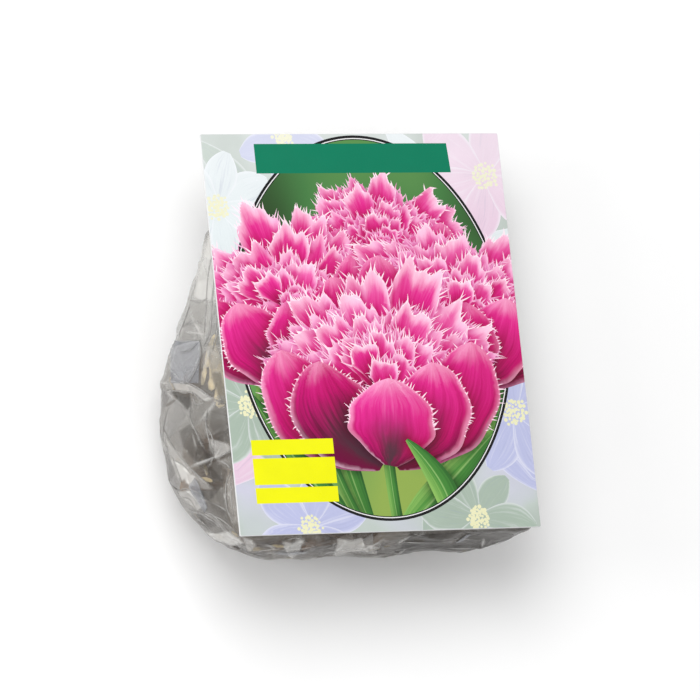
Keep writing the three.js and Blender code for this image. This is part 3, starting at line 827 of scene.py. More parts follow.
class Creases:
    """The lift that sharp straight creases give a film's corners, and their white crests, painted as crease
    whitening and painted highlight.
    """

    def __init__(self, corners, normals):
        self.corners = corners
        self.normals = normals
        self.lift = np.zeros(len(corners))
        self.crest = np.zeros(len(corners))

    def press(self, start, end, normal, height, steep, gentle):
        """One crease from start to end: a tent with one steep side, which fades out at both ends."""
        middle = (start + end) / 2
        half = np.linalg.norm(end - start) / 2
        way = (end - start) / (2 * half)
        across = unit(np.cross(normal, way))
        apart = self.corners - middle
        along = np.abs(apart @ way) / half
        beside = apart @ across
        near = (along < 1) & (np.abs(apart @ normal) < CREASE_REACH) & (self.normals @ normal > CREASE_FACING)
        near &= (beside < steep) & (beside > -gentle)
        side = beside[near]
        tent = np.where(side > 0, 1 - side / steep, 1 + side / gentle) * (1 - along[near] ** 2)
        self.lift[near] += height * tent
        # The crest's white: crease whitening and painted highlight
        whitening_and_highlight = np.clip(tent - CREST_START, 0, 1) / (1 - CREST_START) * min(abs(height) / CREASE_WHITE, 1)
        self.crest[near] = np.maximum(self.crest[near], whitening_and_highlight)

    def press_at_random(self, draw, count, lengths, steeps, ratios, heights):
        """Creases all over the film. The long ones are rare and high, and some go in instead of out."""
        for _ in range(count):
            spot = draw.integers(len(self.corners))
            normal = self.normals[spot]
            way = draw.normal(size=3)
            way = unit(way - normal * (way @ normal))
            size = draw.random()
            half = (lengths[0] + (lengths[1] - lengths[0]) * size ** LONG_CREASES_RARE) * MM / 2
            steep = draw.uniform(*steeps) * MM
            height = (heights[0] + (heights[1] - heights[0]) * size * draw.random()) * MM
            height *= 1 if draw.random() < OUTWARD_CREASES else INWARD_HEIGHT
            gentle = steep * draw.uniform(*ratios)
            centre = self.corners[spot]
            self.press(centre - way * half, centre + way * half, normal, height, steep, gentle)


def sight_line(x, y):
    """From the camera through a pixel of the photograph."""
    way = Vector(((x - PHOTO_SIZE / 2) / LENS_PIXELS, (PHOTO_SIZE / 2 - y) / LENS_PIXELS, -1))
    return Vector(CAMERA_PLACE), (CAMERA_ROTATION.to_matrix() @ way).normalized()


def place_on_film(film, x, y):
    """Where a pixel of the photograph lies on the film, and the film's normal there, or None beside it."""
    spot, normal, _, _ = film.ray_cast(*sight_line(x, y))
    return (np.array(spot), np.array(normal)) if spot else None


def nearest_on(film, spot):
    """The film's nearest place, and its normal there."""
    place, normal, _, _ = film.find_nearest(Vector(spot))
    return np.array(place), np.array(normal)


def smooth_line(knots):
    """A smooth line through some pixels."""
    knots = np.array(knots, float)
    padded = np.concatenate([[2 * knots[0] - knots[1]], knots, [2 * knots[-1] - knots[-2]]])
    line = []
    for p0, p1, p2, p3 in zip(padded, padded[1:], padded[2:], padded[3:]):
        for share in np.arange(PATH_STEPS) / PATH_STEPS:
            line.append(0.5 * (2 * p1 + (p2 - p0) * share + (2 * p0 - 5 * p1 + 4 * p2 - p3) * share ** 2
                               + (3 * p1 - p0 - 3 * p2 + p3) * share ** 3))
    return line + [knots[-1]]


def press_photo_folds(creases, film):
    """A crease along each fold that the photograph shows."""
    share, steep, gentle = PHOTO_CREASE
    for path, height in PHOTO_FOLDS.values():
        places = [place for place in (place_on_film(film, *pixel) for pixel in path) if place]
        for (start, normal), (end, _) in zip(places, places[1:]):
            if np.linalg.norm(end - start) <= OUTSIDE_SPAN:
                spare = (end - start) * CREASE_SPARE
                creases.press(start - spare, end + spare, normal, height * share * MM, steep, gentle)


def in_photo(corners):
    """The photograph's pixel at which each corner of the film lies."""
    seen = (corners - np.array(CAMERA_PLACE)) @ np.array(CAMERA_ROTATION.to_matrix())
    return PHOTO_SIZE / 2 + LENS_PIXELS * seen[:, :2] / seen[:, 2:] * (-1, 1)


def inside_by(pixels, outline):
    """How deep inside an outline each pixel lies; below nought outside it."""
    outline = np.array(outline, float)
    ends = np.roll(outline, -1, axis=0)
    inside = np.zeros(len(pixels), bool)
    nearest = np.full(len(pixels), np.inf)
    for (ax, ay), (bx, by) in zip(outline, ends):
        x, y = pixels.T
        crosses = (ay > y) != (by > y)
        with np.errstate(divide="ignore", invalid="ignore"):
            inside ^= crosses & (x < (bx - ax) * (y - ay) / (by - ay) + ax)
        way = np.array((bx - ax, by - ay))
        share = np.clip(((pixels - (ax, ay)) @ way) / (way @ way), 0, 1)
        nearest = np.minimum(nearest, np.linalg.norm(pixels - (ax, ay) - share[:, None] * way, axis=1))
    return np.where(inside, nearest, -nearest)


def faces_camera(places, normals):
    """Which places look towards the photograph's camera."""
    return (normals * (np.array(CAMERA_PLACE) - places)).sum(1) > 0


def faces_in_photo(corners, faces):
    """The film's triangles that the photograph shows beside the card."""
    middles = corners[faces].mean(1)
    facing = faces_camera(middles, face_normals(corners, faces))
    return facing & (inside_by(in_photo(middles), PHOTO_CARD) < 0)


def painted_facet_light_shade(corners, normals):
    """The light and shade painted on each corner of the film where the photograph shows it, 0 elsewhere."""
    pixels = in_photo(corners)
    facing = faces_camera(corners, normals)
    tones = np.zeros(len(corners))
    for outline, tone in PHOTO_FACETS.values():
        share = np.clip(inside_by(pixels, outline) / FACET_BLUR + 0.5, 0, 1) * facing
        tones += share * (tone - tones)
    return tones


def ridge_strip(path, height):
    """A pinched fold that stands up on the film along a path, thin and tapered at both ends."""
    spots = np.array([spot for spot, _ in path])
    normals = np.array([normal for _, normal in path])
    sides = unit(np.cross(normals, np.gradient(spots, axis=0)))
    taper = np.sqrt(np.sin(np.pi * np.linspace(*RIDGE_ENDS, len(path))))[:, None]
    # Each row's white is crease whitening and painted highlight
    points, whitening_and_highlight = [], []
    for across, lift, white in RIDGE_SHAPE:
        points.append(spots + sides * across * RIDGE_WIDTH * taper + normals * (lift * height * taper))
        whitening_and_highlight.append(white * taper[:, 0])
    rows = len(RIDGE_SHAPE)
    points = np.stack(points, 1).reshape(-1, 3)
    faces = grid_faces(len(path), rows, (0, rows, 1, 1, rows, rows + 1))
    under = points - np.repeat(normals, rows, axis=0) * FILM_SHELL
    return points, faces, under, np.stack(whitening_and_highlight, 1).ravel()


def make_ridges(film, folds, material):
    """The folds of the photograph, and some of the sharp folds between the flats, pinched into ridges."""
    draw = random.Random(RIDGE_SEED)
    paths = []
    for pixels, height in PHOTO_FOLDS.values():
        path = [place_on_film(film, *pixel) for pixel in smooth_line(pixels)]
        path = [place for place in path if place]
        jumps = [np.linalg.norm(b[0] - a[0]) for a, b in zip(path, path[1:])]
        if len(path) > SHORTEST_RIDGE and max(jumps) < RIDGE_JUMP:
            paths.append((path, height * PHOTO_RIDGE * MM))
    for start, end in folds:
        steps = max(int(np.linalg.norm(end - start) / MM), SHORTEST_RIDGE)
        path = [nearest_on(film, start + (end - start) * step / steps) for step in range(steps + 1)]
        middle = path[steps // 2][0]
        seen = place_on_film(film, *in_photo(middle[None])[0])
        shown = seen and np.linalg.norm(seen[0] - middle) < SHOWN_SPAN
        clear = min(start[2], end[2]) > RIDGE_FLOOR
        if draw.random() < (RIDGE_SHARE_SHOWN if shown else RIDGE_SHARE) and clear:
            paths.append((path, draw.uniform(*RIDGE_HEIGHTS) * MM))
    strips = [ridge_strip(path, height) for path, height in paths]
    points, faces = joined(closed_shell(sheet, faces, under) for sheet, faces, under, _ in strips)
    piece = add_piece("film_folds", points, faces, material)
    # The ridges' white crests: crease whitening and painted highlight
    give_values(piece, {"crest": np.concatenate([np.tile(whitening_and_highlight, 2) for _, _, _, whitening_and_highlight in strips])})


def clear_of_bulbs(corners, heap):
    """Moves the film's corners out of the bulbs that it lies on."""
    for index, corner in enumerate(corners):
        nearest, normal, _, _ = heap.find_nearest(Vector(corner), BULB_REACH)
        if nearest is not None and (Vector(corner) - nearest).dot(normal) < BULB_CLEARANCE:
            corners[index] = nearest + normal * BULB_CLEARANCE
    return corners


def closed_shell(corners, faces, inner):
    """A thin closed shell from a sheet and the same sheet moved in."""
    count = len(corners)
    sides = {(a, b) for face in faces for a, b in zip(face, np.roll(face, -1))}
    rim = sorted((a, b) for a, b in sides if (b, a) not in sides)
    shell = [tuple(face) for face in faces] + [tuple(face[::-1] + count) for face in faces]
    shell += [(b, a, a + count, b + count) for a, b in rim]
    return np.concatenate([corners, inner]), shell


def pleat_sheet(outline, step, place_at):
    """A flat of doubled film over an outline, whose places place_at puts on the pouch."""
    flat = anticlockwise(np.asarray(outline, float))
    edge = []
    for start, end in zip(flat, np.roll(flat, -1, axis=0)):
        parts = max(int(np.linalg.norm(end - start) / step), 1)
        edge += [start + (end - start) * part / parts for part in range(parts)]
    low, high = flat.min(0), flat.max(0)
    inner = [(x, y) for x in np.arange(low[0], high[0], step) for y in np.arange(low[1], high[1], step)]
    cut = delaunay_2d_cdt([Vector(p) for p in edge + inner], [], [list(range(len(edge)))], 1, 1e-6, True)
    places = np.array([tuple(p) for p in cut[0]])
    used, faces = np.unique(np.array([list(face) for face in cut[2]]), return_inverse=True)
    places, faces = places[used], faces.reshape(-1, 3)
    edge = np.array(edge)
    near_edge = np.array([np.sqrt(((edge - place) ** 2).sum(1).min()) for place in places]) / step
    points = []
    for place, reach in zip(places, near_edge):
        spot, lean = place_at(*place)
        points.append(spot + lean * (PLEAT_LIFT + PLEAT_CURL * math.exp(-reach)))
    # The rim's white crest is fold whitening and painted highlight
    return np.array(points), faces, PLEAT_WHITE * np.exp(-near_edge / PLEAT_WHITE_SPAN)


def through_photo(film, outline):
    """Puts pixels of the photograph on the film, also those that just miss it."""
    middle = Vector(place_on_film(film, *np.mean(outline, axis=0))[0])

    def place_at(x, y):
        start, way = sight_line(x, y)
        return place_on_film(film, x, y) or nearest_on(film, start + way * (middle - start).dot(way))
    return place_at


def on_patch(film, middle, normal, side):
    """Puts places of a flat patch that touches the film at its middle on the film."""
    other = np.cross(normal, side)

    def place_at(x, y):
        start = middle + side * x + other * y
        spot, lean, _, _ = film.ray_cast(Vector(start + normal * PATCH_HEIGHT), Vector(-normal), PATCH_DEPTH)
        return (np.array(spot), np.array(lean)) if spot else nearest_on(film, start)
    return place_at


def make_pleats(film, corners, normals, room, material):
    """Flaps of doubled film: the photograph's own, and others on the sides that it doesn't show."""
    draw = np.random.default_rng(PLEAT_SEED)
    sheets = []
    for pixels in PHOTO_PLEATS.values():
        sheets.append(pleat_sheet(pixels, PLEAT_GRID_PIXELS, through_photo(film, pixels)))
    while len(sheets) < len(PHOTO_PLEATS) + SPARE_PLEATS:
        spot = draw.integers(len(corners))
        normal = normals[spot]
        unseen = normal[0] >= PLEAT_RIGHT or normal[1] >= PLEAT_FAR
        if room[spot] < FOLDED or normal[2] < PLEAT_UNDER or not unseen:
            continue
        side = unit(np.cross(normal, draw.normal(size=3)))
        length, width = draw.uniform(*PLEAT_LENGTHS) * MM, draw.uniform(*PLEAT_WIDTHS) * MM
        shape = ((-length / 2, -width / 2),
                 (length * draw.uniform(0.2, 0.5), -width * draw.uniform(0.2, 0.6)),
                 (length / 2, width * draw.uniform(0, 0.4)),
                 (-length * draw.uniform(0.1, 0.4), width / 2))
        sheets.append(pleat_sheet(shape, PLEAT_GRID, on_patch(film, corners[spot], normal, side)))
    shells, crests = [], []
    for sheet, faces, crest in sheets:
        sheet_normals = corner_normals(sheet, faces)
        if (sheet_normals @ nearest_on(film, sheet[0])[1]).mean() < 0:
            faces = faces[:, ::-1]
            sheet_normals = -sheet_normals
        shells.append(closed_shell(sheet, faces, sheet - sheet_normals * FILM_SHELL))
        crests.append(np.tile(crest, 2))
    points, faces = joined(shells)
    piece = add_piece("film_pleats", points, faces, material)
    give_values(piece, {"crest": np.concatenate(crests), "doubled": np.ones(len(points))})


def film_material():
    """Clear film gone cloudy: clearest on a bulb, with its own haze on each flat, and white on folds as
    crease whitening and painted highlight. Over it lie painted highlight and painted shade facet by facet,
    paler film as painted light where the pouch is empty, and doubled film paler and bluish, partly its own
    and partly painted reflection.
    """
    material, finish, shader = new_material("clear_film")
    place = finish.place()
    crest, doubled, flat, contact, painted_light_shade, empty = (finish.value(name) for name in FILM_VALUES)
    cloud = finish.noise(place, 38, 4, 0.6, 0.4)
    fine = finish.noise(place, 900, 3, 0.6)
    wisps = finish.noise(finish.scaled(place, (1, 1, 2.5)), 150, 4, 0.7, 1.2)
    # The facets' painted light and shade: the bright share is cloudier film with painted highlight, the dark
    # share, clear, is painted shade
    cloud_and_highlight = finish.math("MAXIMUM", painted_light_shade, 0.0)
    clear = finish.math("MAXIMUM", finish.times(painted_light_shade, -1.0), 0.0)
    outside_painted_shade = finish.math("SUBTRACT", 1.0, clear, clamp=True)
    haze = finish.plus(contact, -0.12, finish.plus(flat, 0.45, finish.times(cloud, 0.9)))
    haze = finish.between(haze, 0.38, 0.85)
    white = finish.between(wisps, 0.58, 0.72, 0.0, 0.35)
    colour = finish.mix(haze, (80, 74, 68), (142, 137, 130))
    # Painted onto the colour: painted shade in dark brown, painted light as paler film where the pouch is
    # empty, a paler bluish grey on doubled film that is partly its own and partly painted reflection, and
    # white crests of crease whitening and painted highlight
    layers = ((clear, (34, 29, 25)), (finish.times(empty, outside_painted_shade), (196, 194, 189)),
              (finish.times(cloud_and_highlight, 0.9), (220, 218, 214)), (white, (214, 212, 208)),
              (finish.times(doubled, 0.65), (186, 190, 199)), (finish.times(crest, 0.65), (232, 231, 228)))
    for share, tone in layers:
        colour = finish.mix(share, colour, tone)
    cover = finish.plus(haze, 0.16, 0.16)
    # Painted shade also makes the film cover more
    cover = finish.plus(clear, finish.plus(contact, -0.14, 0.44), finish.plus(contact, -0.1, cover))
    cover = finish.math("ADD", cover, finish.between(cloud_and_highlight, 0.0, 0.3, 0.0, 0.1))
    for value, share in ((cloud_and_highlight, 0.22), (doubled, 0.1), (white, 0.2), (crest, 0.28)):
        cover = finish.plus(value, share, cover)
    rub = finish.group(HANDLING, Place=place, Size=90.0)["Rub"]
    height = finish.plus(wisps, 0.5, finish.plus(fine, 0.2, cloud))
    finish.feed(shader, Base_Color=colour, Alpha=cover, Roughness=finish.plus(rub, 0.12, 0.14),
                Normal=finish.bump(height, 0.35, 0.0006), Coat_Weight=finish.plus(outside_painted_shade, 0.2, 0.01),
                Specular_IOR_Level=0.1, Coat_Roughness=0.06)
    return material


def contact_with(heap, corners):
    """How closely each corner of the film lies on a bulb: 1 where they touch, 0 some millimetres away."""
    values = np.zeros(len(corners))
    for index, corner in enumerate(corners):
        gap = heap.find_nearest(Vector(corner), CONTACT_REACH)[3]
        if gap is not None:
            values[index] = min(max((CONTACT_END - gap) / (CONTACT_END - CONTACT_START), 0), 1)
    return values


def empty_at(heap, corners):
    """How empty the pouch is behind each corner of the film: 0 over the bulbs, 1 well away from them."""
    reach = np.array([heap.find_nearest(Vector(corner))[3] for corner in corners])
    return np.clip((reach - EMPTY_START) / (EMPTY_END - EMPTY_START), 0, 1)


def make_film(heap):
    """The pouch: the CAD film's outer skin, made finer, folded into flats, creased and kept off the bulbs."""
    corners, faces = outer_skin(*node_surface("film_pouch"))
    for soften in SOFTENING:
        corners, faces = halve_edges(corners, faces, soften)
    coarse = side_lengths(corners, faces).max(1) > FINE_SIDE
    corners, faces = split_where(corners, faces, faces_in_photo(corners, faces) & coarse)
    to_card = np.array(CARD_FRAME.inverted())
    depth = -(corners @ to_card[:3, :3].T + to_card[:3, 3])[:, 2] - CARD_THICKNESS * MM / 2
    room = np.clip((depth - FLAT_TOP_ROOM) / FULL_ROOM, 0, 1) * (1 - TAUT * empty_at(heap, corners))
    draw = np.random.default_rng(FILM_SEED)
    swell = SWELL * np.clip(depth / SWELL_DEPTH, 0, 1)
    corners = corners + corner_normals(corners, faces) * swell[:, None]
    broad = None
    for spacing, push in FLAT_SIZES:
        corners, folded, folds = fold_into_flats(corners, faces, spacing * MM, push * MM, room, draw)
        broad = broad or (folded, folds)
    folded, folds = broad
    normals = corner_normals(corners, faces)
    creases = Creases(corners, normals)
    for size in CREASE_SIZES:
        creases.press_at_random(draw, *size)
    press_photo_folds(creases, surface(corners, faces))
    corners = clear_of_bulbs(corners + normals * (creases.lift * room)[:, None], heap)
    corners[:, 2] = np.maximum(corners[:, 2], TABLE_GAP)
    normals = corner_normals(corners, faces)
    tones = draw.random(len(corners))
    tone = [tones[folded.find_nearest(Vector(middle))[2]] for middle in corners[faces].mean(1)]
    points, shell = closed_shell(corners, faces, corners - normals * FILM_SHELL)
    material = film_material()
    piece = add_piece("film_pouch_skin", points, shell, material, ["film_pouch"])
    values = {"crest": creases.crest * room, "doubled": np.zeros(len(corners)),
              "contact": contact_with(heap, corners), "painted_light_shade": painted_facet_light_shade(corners, normals),
              "empty": empty_at(heap, corners)}
    give_values(piece, {name: np.tile(numbers, 2) for name, numbers in values.items()})
    rim_tone = [0.5] * (len(shell) - 2 * len(faces))
    give_values(piece, {"flat_tone": tone + tone + rim_tone}, "FLOAT", "FACE")
    film = surface(corners, faces)
    make_pleats(film, corners, normals, room, material)
    make_ridges(film, folds, material)
    return film, corners, normals, room


# Dry flakes of tunic, loose in the pouch against the film

FLAKE_SEED = 9
FLAKE_COUNT = 70
FLAKE_LENGTHS = (2.5, 9)
FLAKE_WIDTHS = (1.2, 4)
PALE_FLAKES = 0.4
FLAKE_TOP = 0.75  # no flake lies where the film looks up by more than this cosine
PALE_TORN = 0.66  # how torn open to its pale side a flake is
DARK_TORN = 0.3
TORN_CHANGE = 0.22
TORN_GRAIN = 420  # its changes to the metre
FLAKE_GAP = 0.35 * MM
FLAKE_THICKNESS = 0.12 * MM
FLAKE_ROOM = 1.0 * MM
FLAKE_STEPS = (8, 5)
FLAKE_CURL = 0.25 * MM
FLAKE_RAGGED = 0.3 * MM
# Where the photograph shows flakes: pixel, length and width in millimetres, turn
PHOTO_FLAKES = {
    "strip_top": ((210, 350), 16, 5.0, 1.5),
    "strip_upper": ((213, 362), 15, 6.0, 1.75),
    "strip_middle": ((216, 374), 16, 6.5, 1.35),
    "strip_lower": ((220, 387), 15, 6.5, 1.65),
    "strip_foot": ((223, 397), 12, 6.0, 1.2),
    "heel": ((180, 468), 11, 4.0, 2.3),
    "corner": ((256, 550), 9, 5.0, 0.4),
    "side": ((203, 375), 9, 3.5, 1.7),
}


def flake_sheet(film, spot, normal, length, width, turn, draw):
    """A torn leaf of tunic that lies against the film's inside."""
    first = unit(np.cross(normal, (0.2, 1.0, 0.3)))
    second = np.cross(normal, first)
    side = first * math.cos(turn) + second * math.sin(turn)
    other = second * math.cos(turn) - first * math.sin(turn)
    rows, columns = FLAKE_STEPS
    points = []
    for row in range(rows + 1):
        share = row / rows
        half = width / 2 * (math.sin(math.pi * (0.12 + 0.78 * share)) ** 0.6) * draw.uniform(0.75, 1.15)
        for column in range(columns + 1):
            beside = 2 * column / columns - 1
            x = (share - 0.5) * length + draw.uniform(-1, 1) * FLAKE_RAGGED
            place, lean = nearest_on(film, spot + side * x + other * beside * half)
            points.append(place - lean * (FLAKE_GAP + FLAKE_CURL * beside ** 2))
    wide = columns + 1
    return np.array(points), grid_faces(rows + 1, wide, (0, 1, wide + 1, 0, wide + 1, wide))


def make_flakes(film, corners, normals, room, heap, material):
    """The flakes that the photograph shows, and others wherever the film is loose and off the bulbs."""
    draw = random.Random(FLAKE_SEED)
    wanted = []
    for pixel, length, width, turn in PHOTO_FLAKES.values():
        place = place_on_film(film, *pixel)
        if place:
            wanted.append((*place, length * MM, width * MM, turn))
    while len(wanted) < FLAKE_COUNT:
        spot = draw.randrange(len(corners))
        free = heap.find_nearest(Vector(corners[spot]), FLAKE_ROOM)[0] is None
        if room[spot] < FOLDED or normals[spot][2] > FLAKE_TOP or not free:
            continue
        length, width = draw.uniform(*FLAKE_LENGTHS) * MM, draw.uniform(*FLAKE_WIDTHS) * MM
        wanted.append((corners[spot], normals[spot], length, width, draw.uniform(0, math.pi)))
    rows, columns = FLAKE_STEPS
    along = np.repeat(np.linspace(0.2, 0.6, rows + 1), columns + 1)
    beside = np.tile(np.linspace(-0.3, 0.3, columns + 1), rows + 1)
    shells, owns, torn = [], [], []
    for flake in wanted:
        sheet, faces = flake_sheet(film, *flake, draw)
        under = sheet - corner_normals(sheet, faces) * FLAKE_THICKNESS
        shells.append(closed_shell(sheet, faces, under))
        points = shells[-1][0]
        owns.append(np.full(len(points), draw.uniform(0, 40)))
        pale = len(torn) < len(PHOTO_FLAKES) or draw.random() < PALE_FLAKES
        open_share = PALE_TORN if pale else DARK_TORN
        torn.append([open_share + TORN_CHANGE * noise_at(Vector(point) * TORN_GRAIN) for point in points])
    points, faces = joined(shells)
    piece = add_piece("tunic_flakes", points, faces, material)
    skin = np.tile(np.stack([beside, beside, along], 1), (2 * len(wanted), 1))
    give_values(piece, {"skin": skin}, "FLOAT_VECTOR")
    give_values(piece, {"own_number": np.concatenate(owns), "torn": np.concatenate(torn)})


# Card print. Each shape is an outline in millimetres on the card's face, painted in order. A shape's inks are
# in its material, which reads where on the shape a place is: along it, across it, and how shaded it is.

OVAL_MIDDLE = (1, 2)
OVAL_HALF = (67, 90)  # across and up
# Each line's ink, and how far outside the oval it reaches
FRAME_LINES = (("frame_ink", 2.2), ("frame_gap_ink", 0.9), ("frame_ink", 0.45))
BAND = ((-49, 76), (49, 90.2))
BAND_SLANT = -0.9
BARS = ((-57.7, -50.5), (-71.6, -59.2), (-80.3, -73.0))  # foot and top
BAR_LEFT = -65.3
BAR_RIGHT = -24.8
PRINT_SEED = 31
PRINT_GRID = 2.2
PRINT_INSET = 1
JOIN_PRINT = 1e-4
SHADE_DEPTH = 0.64  # how much light a shape loses right beside one that is printed over it
SHADE_REACH = 3.0
NEAR_SPAN = 4
SHADED_CORNERS = 15  # a face as small as a tooth takes no shade
CORNER_RADIUS = 0.7


def anticlockwise(outline):
    """The same outline, running anticlockwise, which the cutter needs to know its inside."""
    after = np.roll(outline, -1, axis=0)
    area = (outline[:, 0] * after[:, 1] - after[:, 0] * outline[:, 1]).sum()
    return outline if area > 0 else outline[::-1]


class Shape:
    """One printed shape: its outline, its ink, and how a place on it is measured."""

    def __init__(self, ink, outline, measure=None, own=0.0, in_window=False, casts=False):
        self.ink = ink
        self.outline = anticlockwise(np.asarray(outline, float))
        self.measure = measure
        self.own = own
        self.in_window = in_window
        self.casts = casts


def printed(form, ink, own, **more):
    """The printed shape of a spine or a fan."""
    return Shape(ink, form.outline(), form.measure, own, **more)


class Spine:
    """A curved middle line with a half-width at each share of its length."""

    def __init__(self, foot, knee, tip, widths):
        share = np.linspace(0, 1, len(widths))[:, None]
        foot, knee, tip = np.array(foot, float), np.array(knee, float), np.array(tip, float)
        self.line = (1 - share) ** 2 * foot + 2 * share * (1 - share) * knee + share ** 2 * tip
        self.way = unit(np.gradient(self.line, axis=0))
        self.beside = np.stack([-self.way[:, 1], self.way[:, 0]], 1)
        self.widths = np.asarray(widths, float)

    def outline(self):
        left = self.line + self.beside * self.widths[:, None]
        right = self.line - self.beside * self.widths[:, None]
        return np.concatenate([left, right[::-1]])

    def measure(self, places):
        """How far along the spine, and how far across it as a share of the half-width, each place is."""
        apart = places[:, None] - self.line[None]
        nearest = np.argmin((apart ** 2).sum(2), 1)
        off = places - self.line[nearest]
        step = np.linalg.norm(self.line[1] - self.line[0]) * len(self.line)
        along = nearest / (len(self.line) - 1) + (off * self.way[nearest]).sum(1) / step
        across = (off * self.beside[nearest]).sum(1) / np.maximum(self.widths[nearest], 0.4)
        return np.clip(along, 0, 1), np.clip(across, -1, 1)


def petal_widths(width, foot_share):
    """A smooth petal's half-widths, from its foot to its tip."""
    share = np.linspace(0, 1, PETAL_STEPS)
    rise = foot_share + (1 - foot_share) * np.sin(np.pi / 2 * np.minimum(share / 0.55, 1))
    fall = (1 - np.clip((share - 0.5) / 0.5, 0, 1) ** 2.3) ** 0.7
    return width * rise * fall


class Fan:
    """A ruffled petal: narrow at its foot, with a wide waved rim."""

    def __init__(self, foot, aim, length, spread, draw):
        self.foot = np.array(foot, float)
        self.aim = aim
        self.spread = spread
        self.turns = np.linspace(-spread, spread, 23)
        share = self.turns / spread
        waves = 0.055 * np.sin(share * draw.uniform(5, 8) + draw.uniform(0, 6))
        waves += 0.03 * np.sin(share * draw.uniform(11, 16) + draw.uniform(0, 6))
        self.reach = length * (1 - 0.3 * np.abs(share) ** 3 + waves)

    def spots(self, turns, reach):
        angles = self.aim + np.asarray(turns, float)
        return self.foot + np.stack([np.sin(angles), np.cos(angles)], 1) * np.asarray(reach)[:, None]

    def outline(self):
        rim = self.spots(self.turns, self.reach)
        sides = [self.spots([turn], [self.reach[end] * 0.55])[0]
                 for turn, end in ((self.spread * 0.92, -1), (-self.spread * 0.92, 0))]
        return np.concatenate([rim, sides[:1], [self.foot], sides[1:]])

    def measure(self, places):
        """How far out of its foot, and how far across it, each place is."""
        off = places - self.foot
        turn = np.arctan2(off[:, 0], off[:, 1]) - self.aim
        turn = (turn + np.pi) % (2 * np.pi) - np.pi
        along = np.linalg.norm(off, axis=1) / np.interp(turn, self.turns, self.reach)
        return np.clip(along, 0, 1), np.clip(turn / self.spread, -1, 1)

    def teeth(self, draw, length):
        made = []
        turn = -self.spread
        while turn < self.spread:
            reach = np.interp(turn, self.turns, self.reach)
            root = self.spots([turn], [reach - 0.7])[0]
            made.append(tooth(root, self.aim + turn * 1.25 + draw.gauss(0, 0.4), length, draw))
            turn += draw.uniform(0.55, 1.35) / reach
        return made


def tooth(root, angle, length, draw):
    """One tooth of a fringe: its root, the way it points, its side, its reach, thickness and bend."""
    out = np.array([math.sin(angle), math.cos(angle)])
    side = np.array([-out[1], out[0]])
    reach = length * draw.choice((0.45, 0.6, 0.8, 1.0, 1.35)) * draw.uniform(0.8, 1.2)
    return root, out, side, reach, draw.uniform(0.24, 0.46), side * draw.gauss(0, 0.3)


def tooth_shape(made, own):
    """The printed shape of a tooth, in its petal's ink."""
    root, out, side, reach, thick, bend = made
    middle = root + out * reach * 0.55 + bend
    tip = root + out * reach + bend * 2.5
    outline = [root - side * thick, middle - side * thick * 0.6, tip, middle + side * thick * 0.6,
               root + side * thick]

    def measure(places):
        return 1 + np.clip((places - root) @ out / reach, 0, 1), np.zeros(len(places))
    return Shape("petal_ink", outline, measure, own)


def rim_teeth(spine, draw, start, length):
    """The short teeth round the upper edge of a smooth petal."""
    made = []
    for hand in (-1, 1):
        place = start
        while place < 0.99:
            step = place * (len(spine.line) - 1)
            low = int(step)
            rest = step - low
            middle = spine.line[low] * (1 - rest) + spine.line[low + 1] * rest
            half = spine.widths[low] * (1 - rest) + spine.widths[low + 1] * rest
            beside, way = spine.beside[low] * hand, spine.way[low]
            steep = ((place - start) / (1 - start)) ** 2
            out = beside * (1.1 - 0.7 * steep) + way * (0.4 + 0.9 * steep)
            angle = math.atan2(out[0], out[1]) + draw.gauss(0, 0.3)
            made.append(tooth(middle + beside * max(half - 0.7, 0), angle, length, draw))
            place += draw.uniform(0.6, 1.3) / (len(spine.line) * 1.2)
    return made


PETAL_STEPS = 34

# A fringed double tulip, from its far side to its near one. The ruffles: how many, how far they fan out, the
# height of their feet, their length and their half-spread. The smooth petals: tip across and up, half-width
# and bend. All are shares of the flower's height, and angles in radians.
RUFFLES = ((7, 1.35, 0.40, 0.56, 0.32), (6, 1.15, 0.40, 0.47, 0.36), (6, 1.05, 0.38, 0.38, 0.40),
           (5, 0.8, 0.38, 0.29, 0.5), (3, 0.5, 0.40, 0.2, 0.6))
FRONT_PETAL = 100  # a smooth petal's own number is above this
SMOOTH_PETALS = ((-0.50, 0.66, 0.21, -0.34), (0.52, 0.64, 0.21, 0.34), (-0.33, 0.56, 0.22, -0.26),
                 (0.30, 0.57, 0.22, 0.26), (0.03, 0.50, 0.24, 0.03))


def tulip(foot, height, lean, draw):
    """One fringed tulip seen from the side, standing on its foot."""
    shapes = []
    cos, sin = math.cos(lean), math.sin(lean)

    def place(x, y):
        return foot + height * np.array([x * cos + y * sin, -x * sin + y * cos])
    for count, fan_out, rise, length, spread in RUFFLES:
        angles = [fan_out * (2 * (step + 0.5) / count - 1) + draw.gauss(0, 0.07) for step in range(count)]
        for angle in sorted(angles, key=abs, reverse=True):
            root = place(math.sin(angle) * 0.13, rise + 0.04 * draw.gauss(0, 1))
            fan = Fan(root, angle + lean, length * height * draw.uniform(0.86, 1.12), spread, draw)
            own = draw.uniform(0, 20)
            shapes.append(printed(fan, "petal_ink", own, casts=True))
            shapes += [tooth_shape(made, own) for made in fan.teeth(draw, 0.05 * height)]
    for x, y, width, bend in SMOOTH_PETALS:
        x += draw.gauss(0, 0.02)
        y += draw.gauss(0, 0.02)
        widths = petal_widths(width * height, 0.15)
        ripple = 1 + 0.04 * np.sin(np.linspace(0, 1, len(widths)) * draw.uniform(14, 24) + draw.uniform(0, 6))
        knee = place(x * 0.45 + bend * 0.75, y * 0.42)
        spine = Spine(place(x * 0.12, 0.02), knee, place(x, y), widths * ripple)
        own = FRONT_PETAL + draw.uniform(0, 20)
        shapes.append(printed(spine, "petal_ink", own, casts=True))
        shapes += [tooth_shape(made, own) for made in rim_teeth(spine, draw, 0.5, 0.03 * height)]
    return shapes


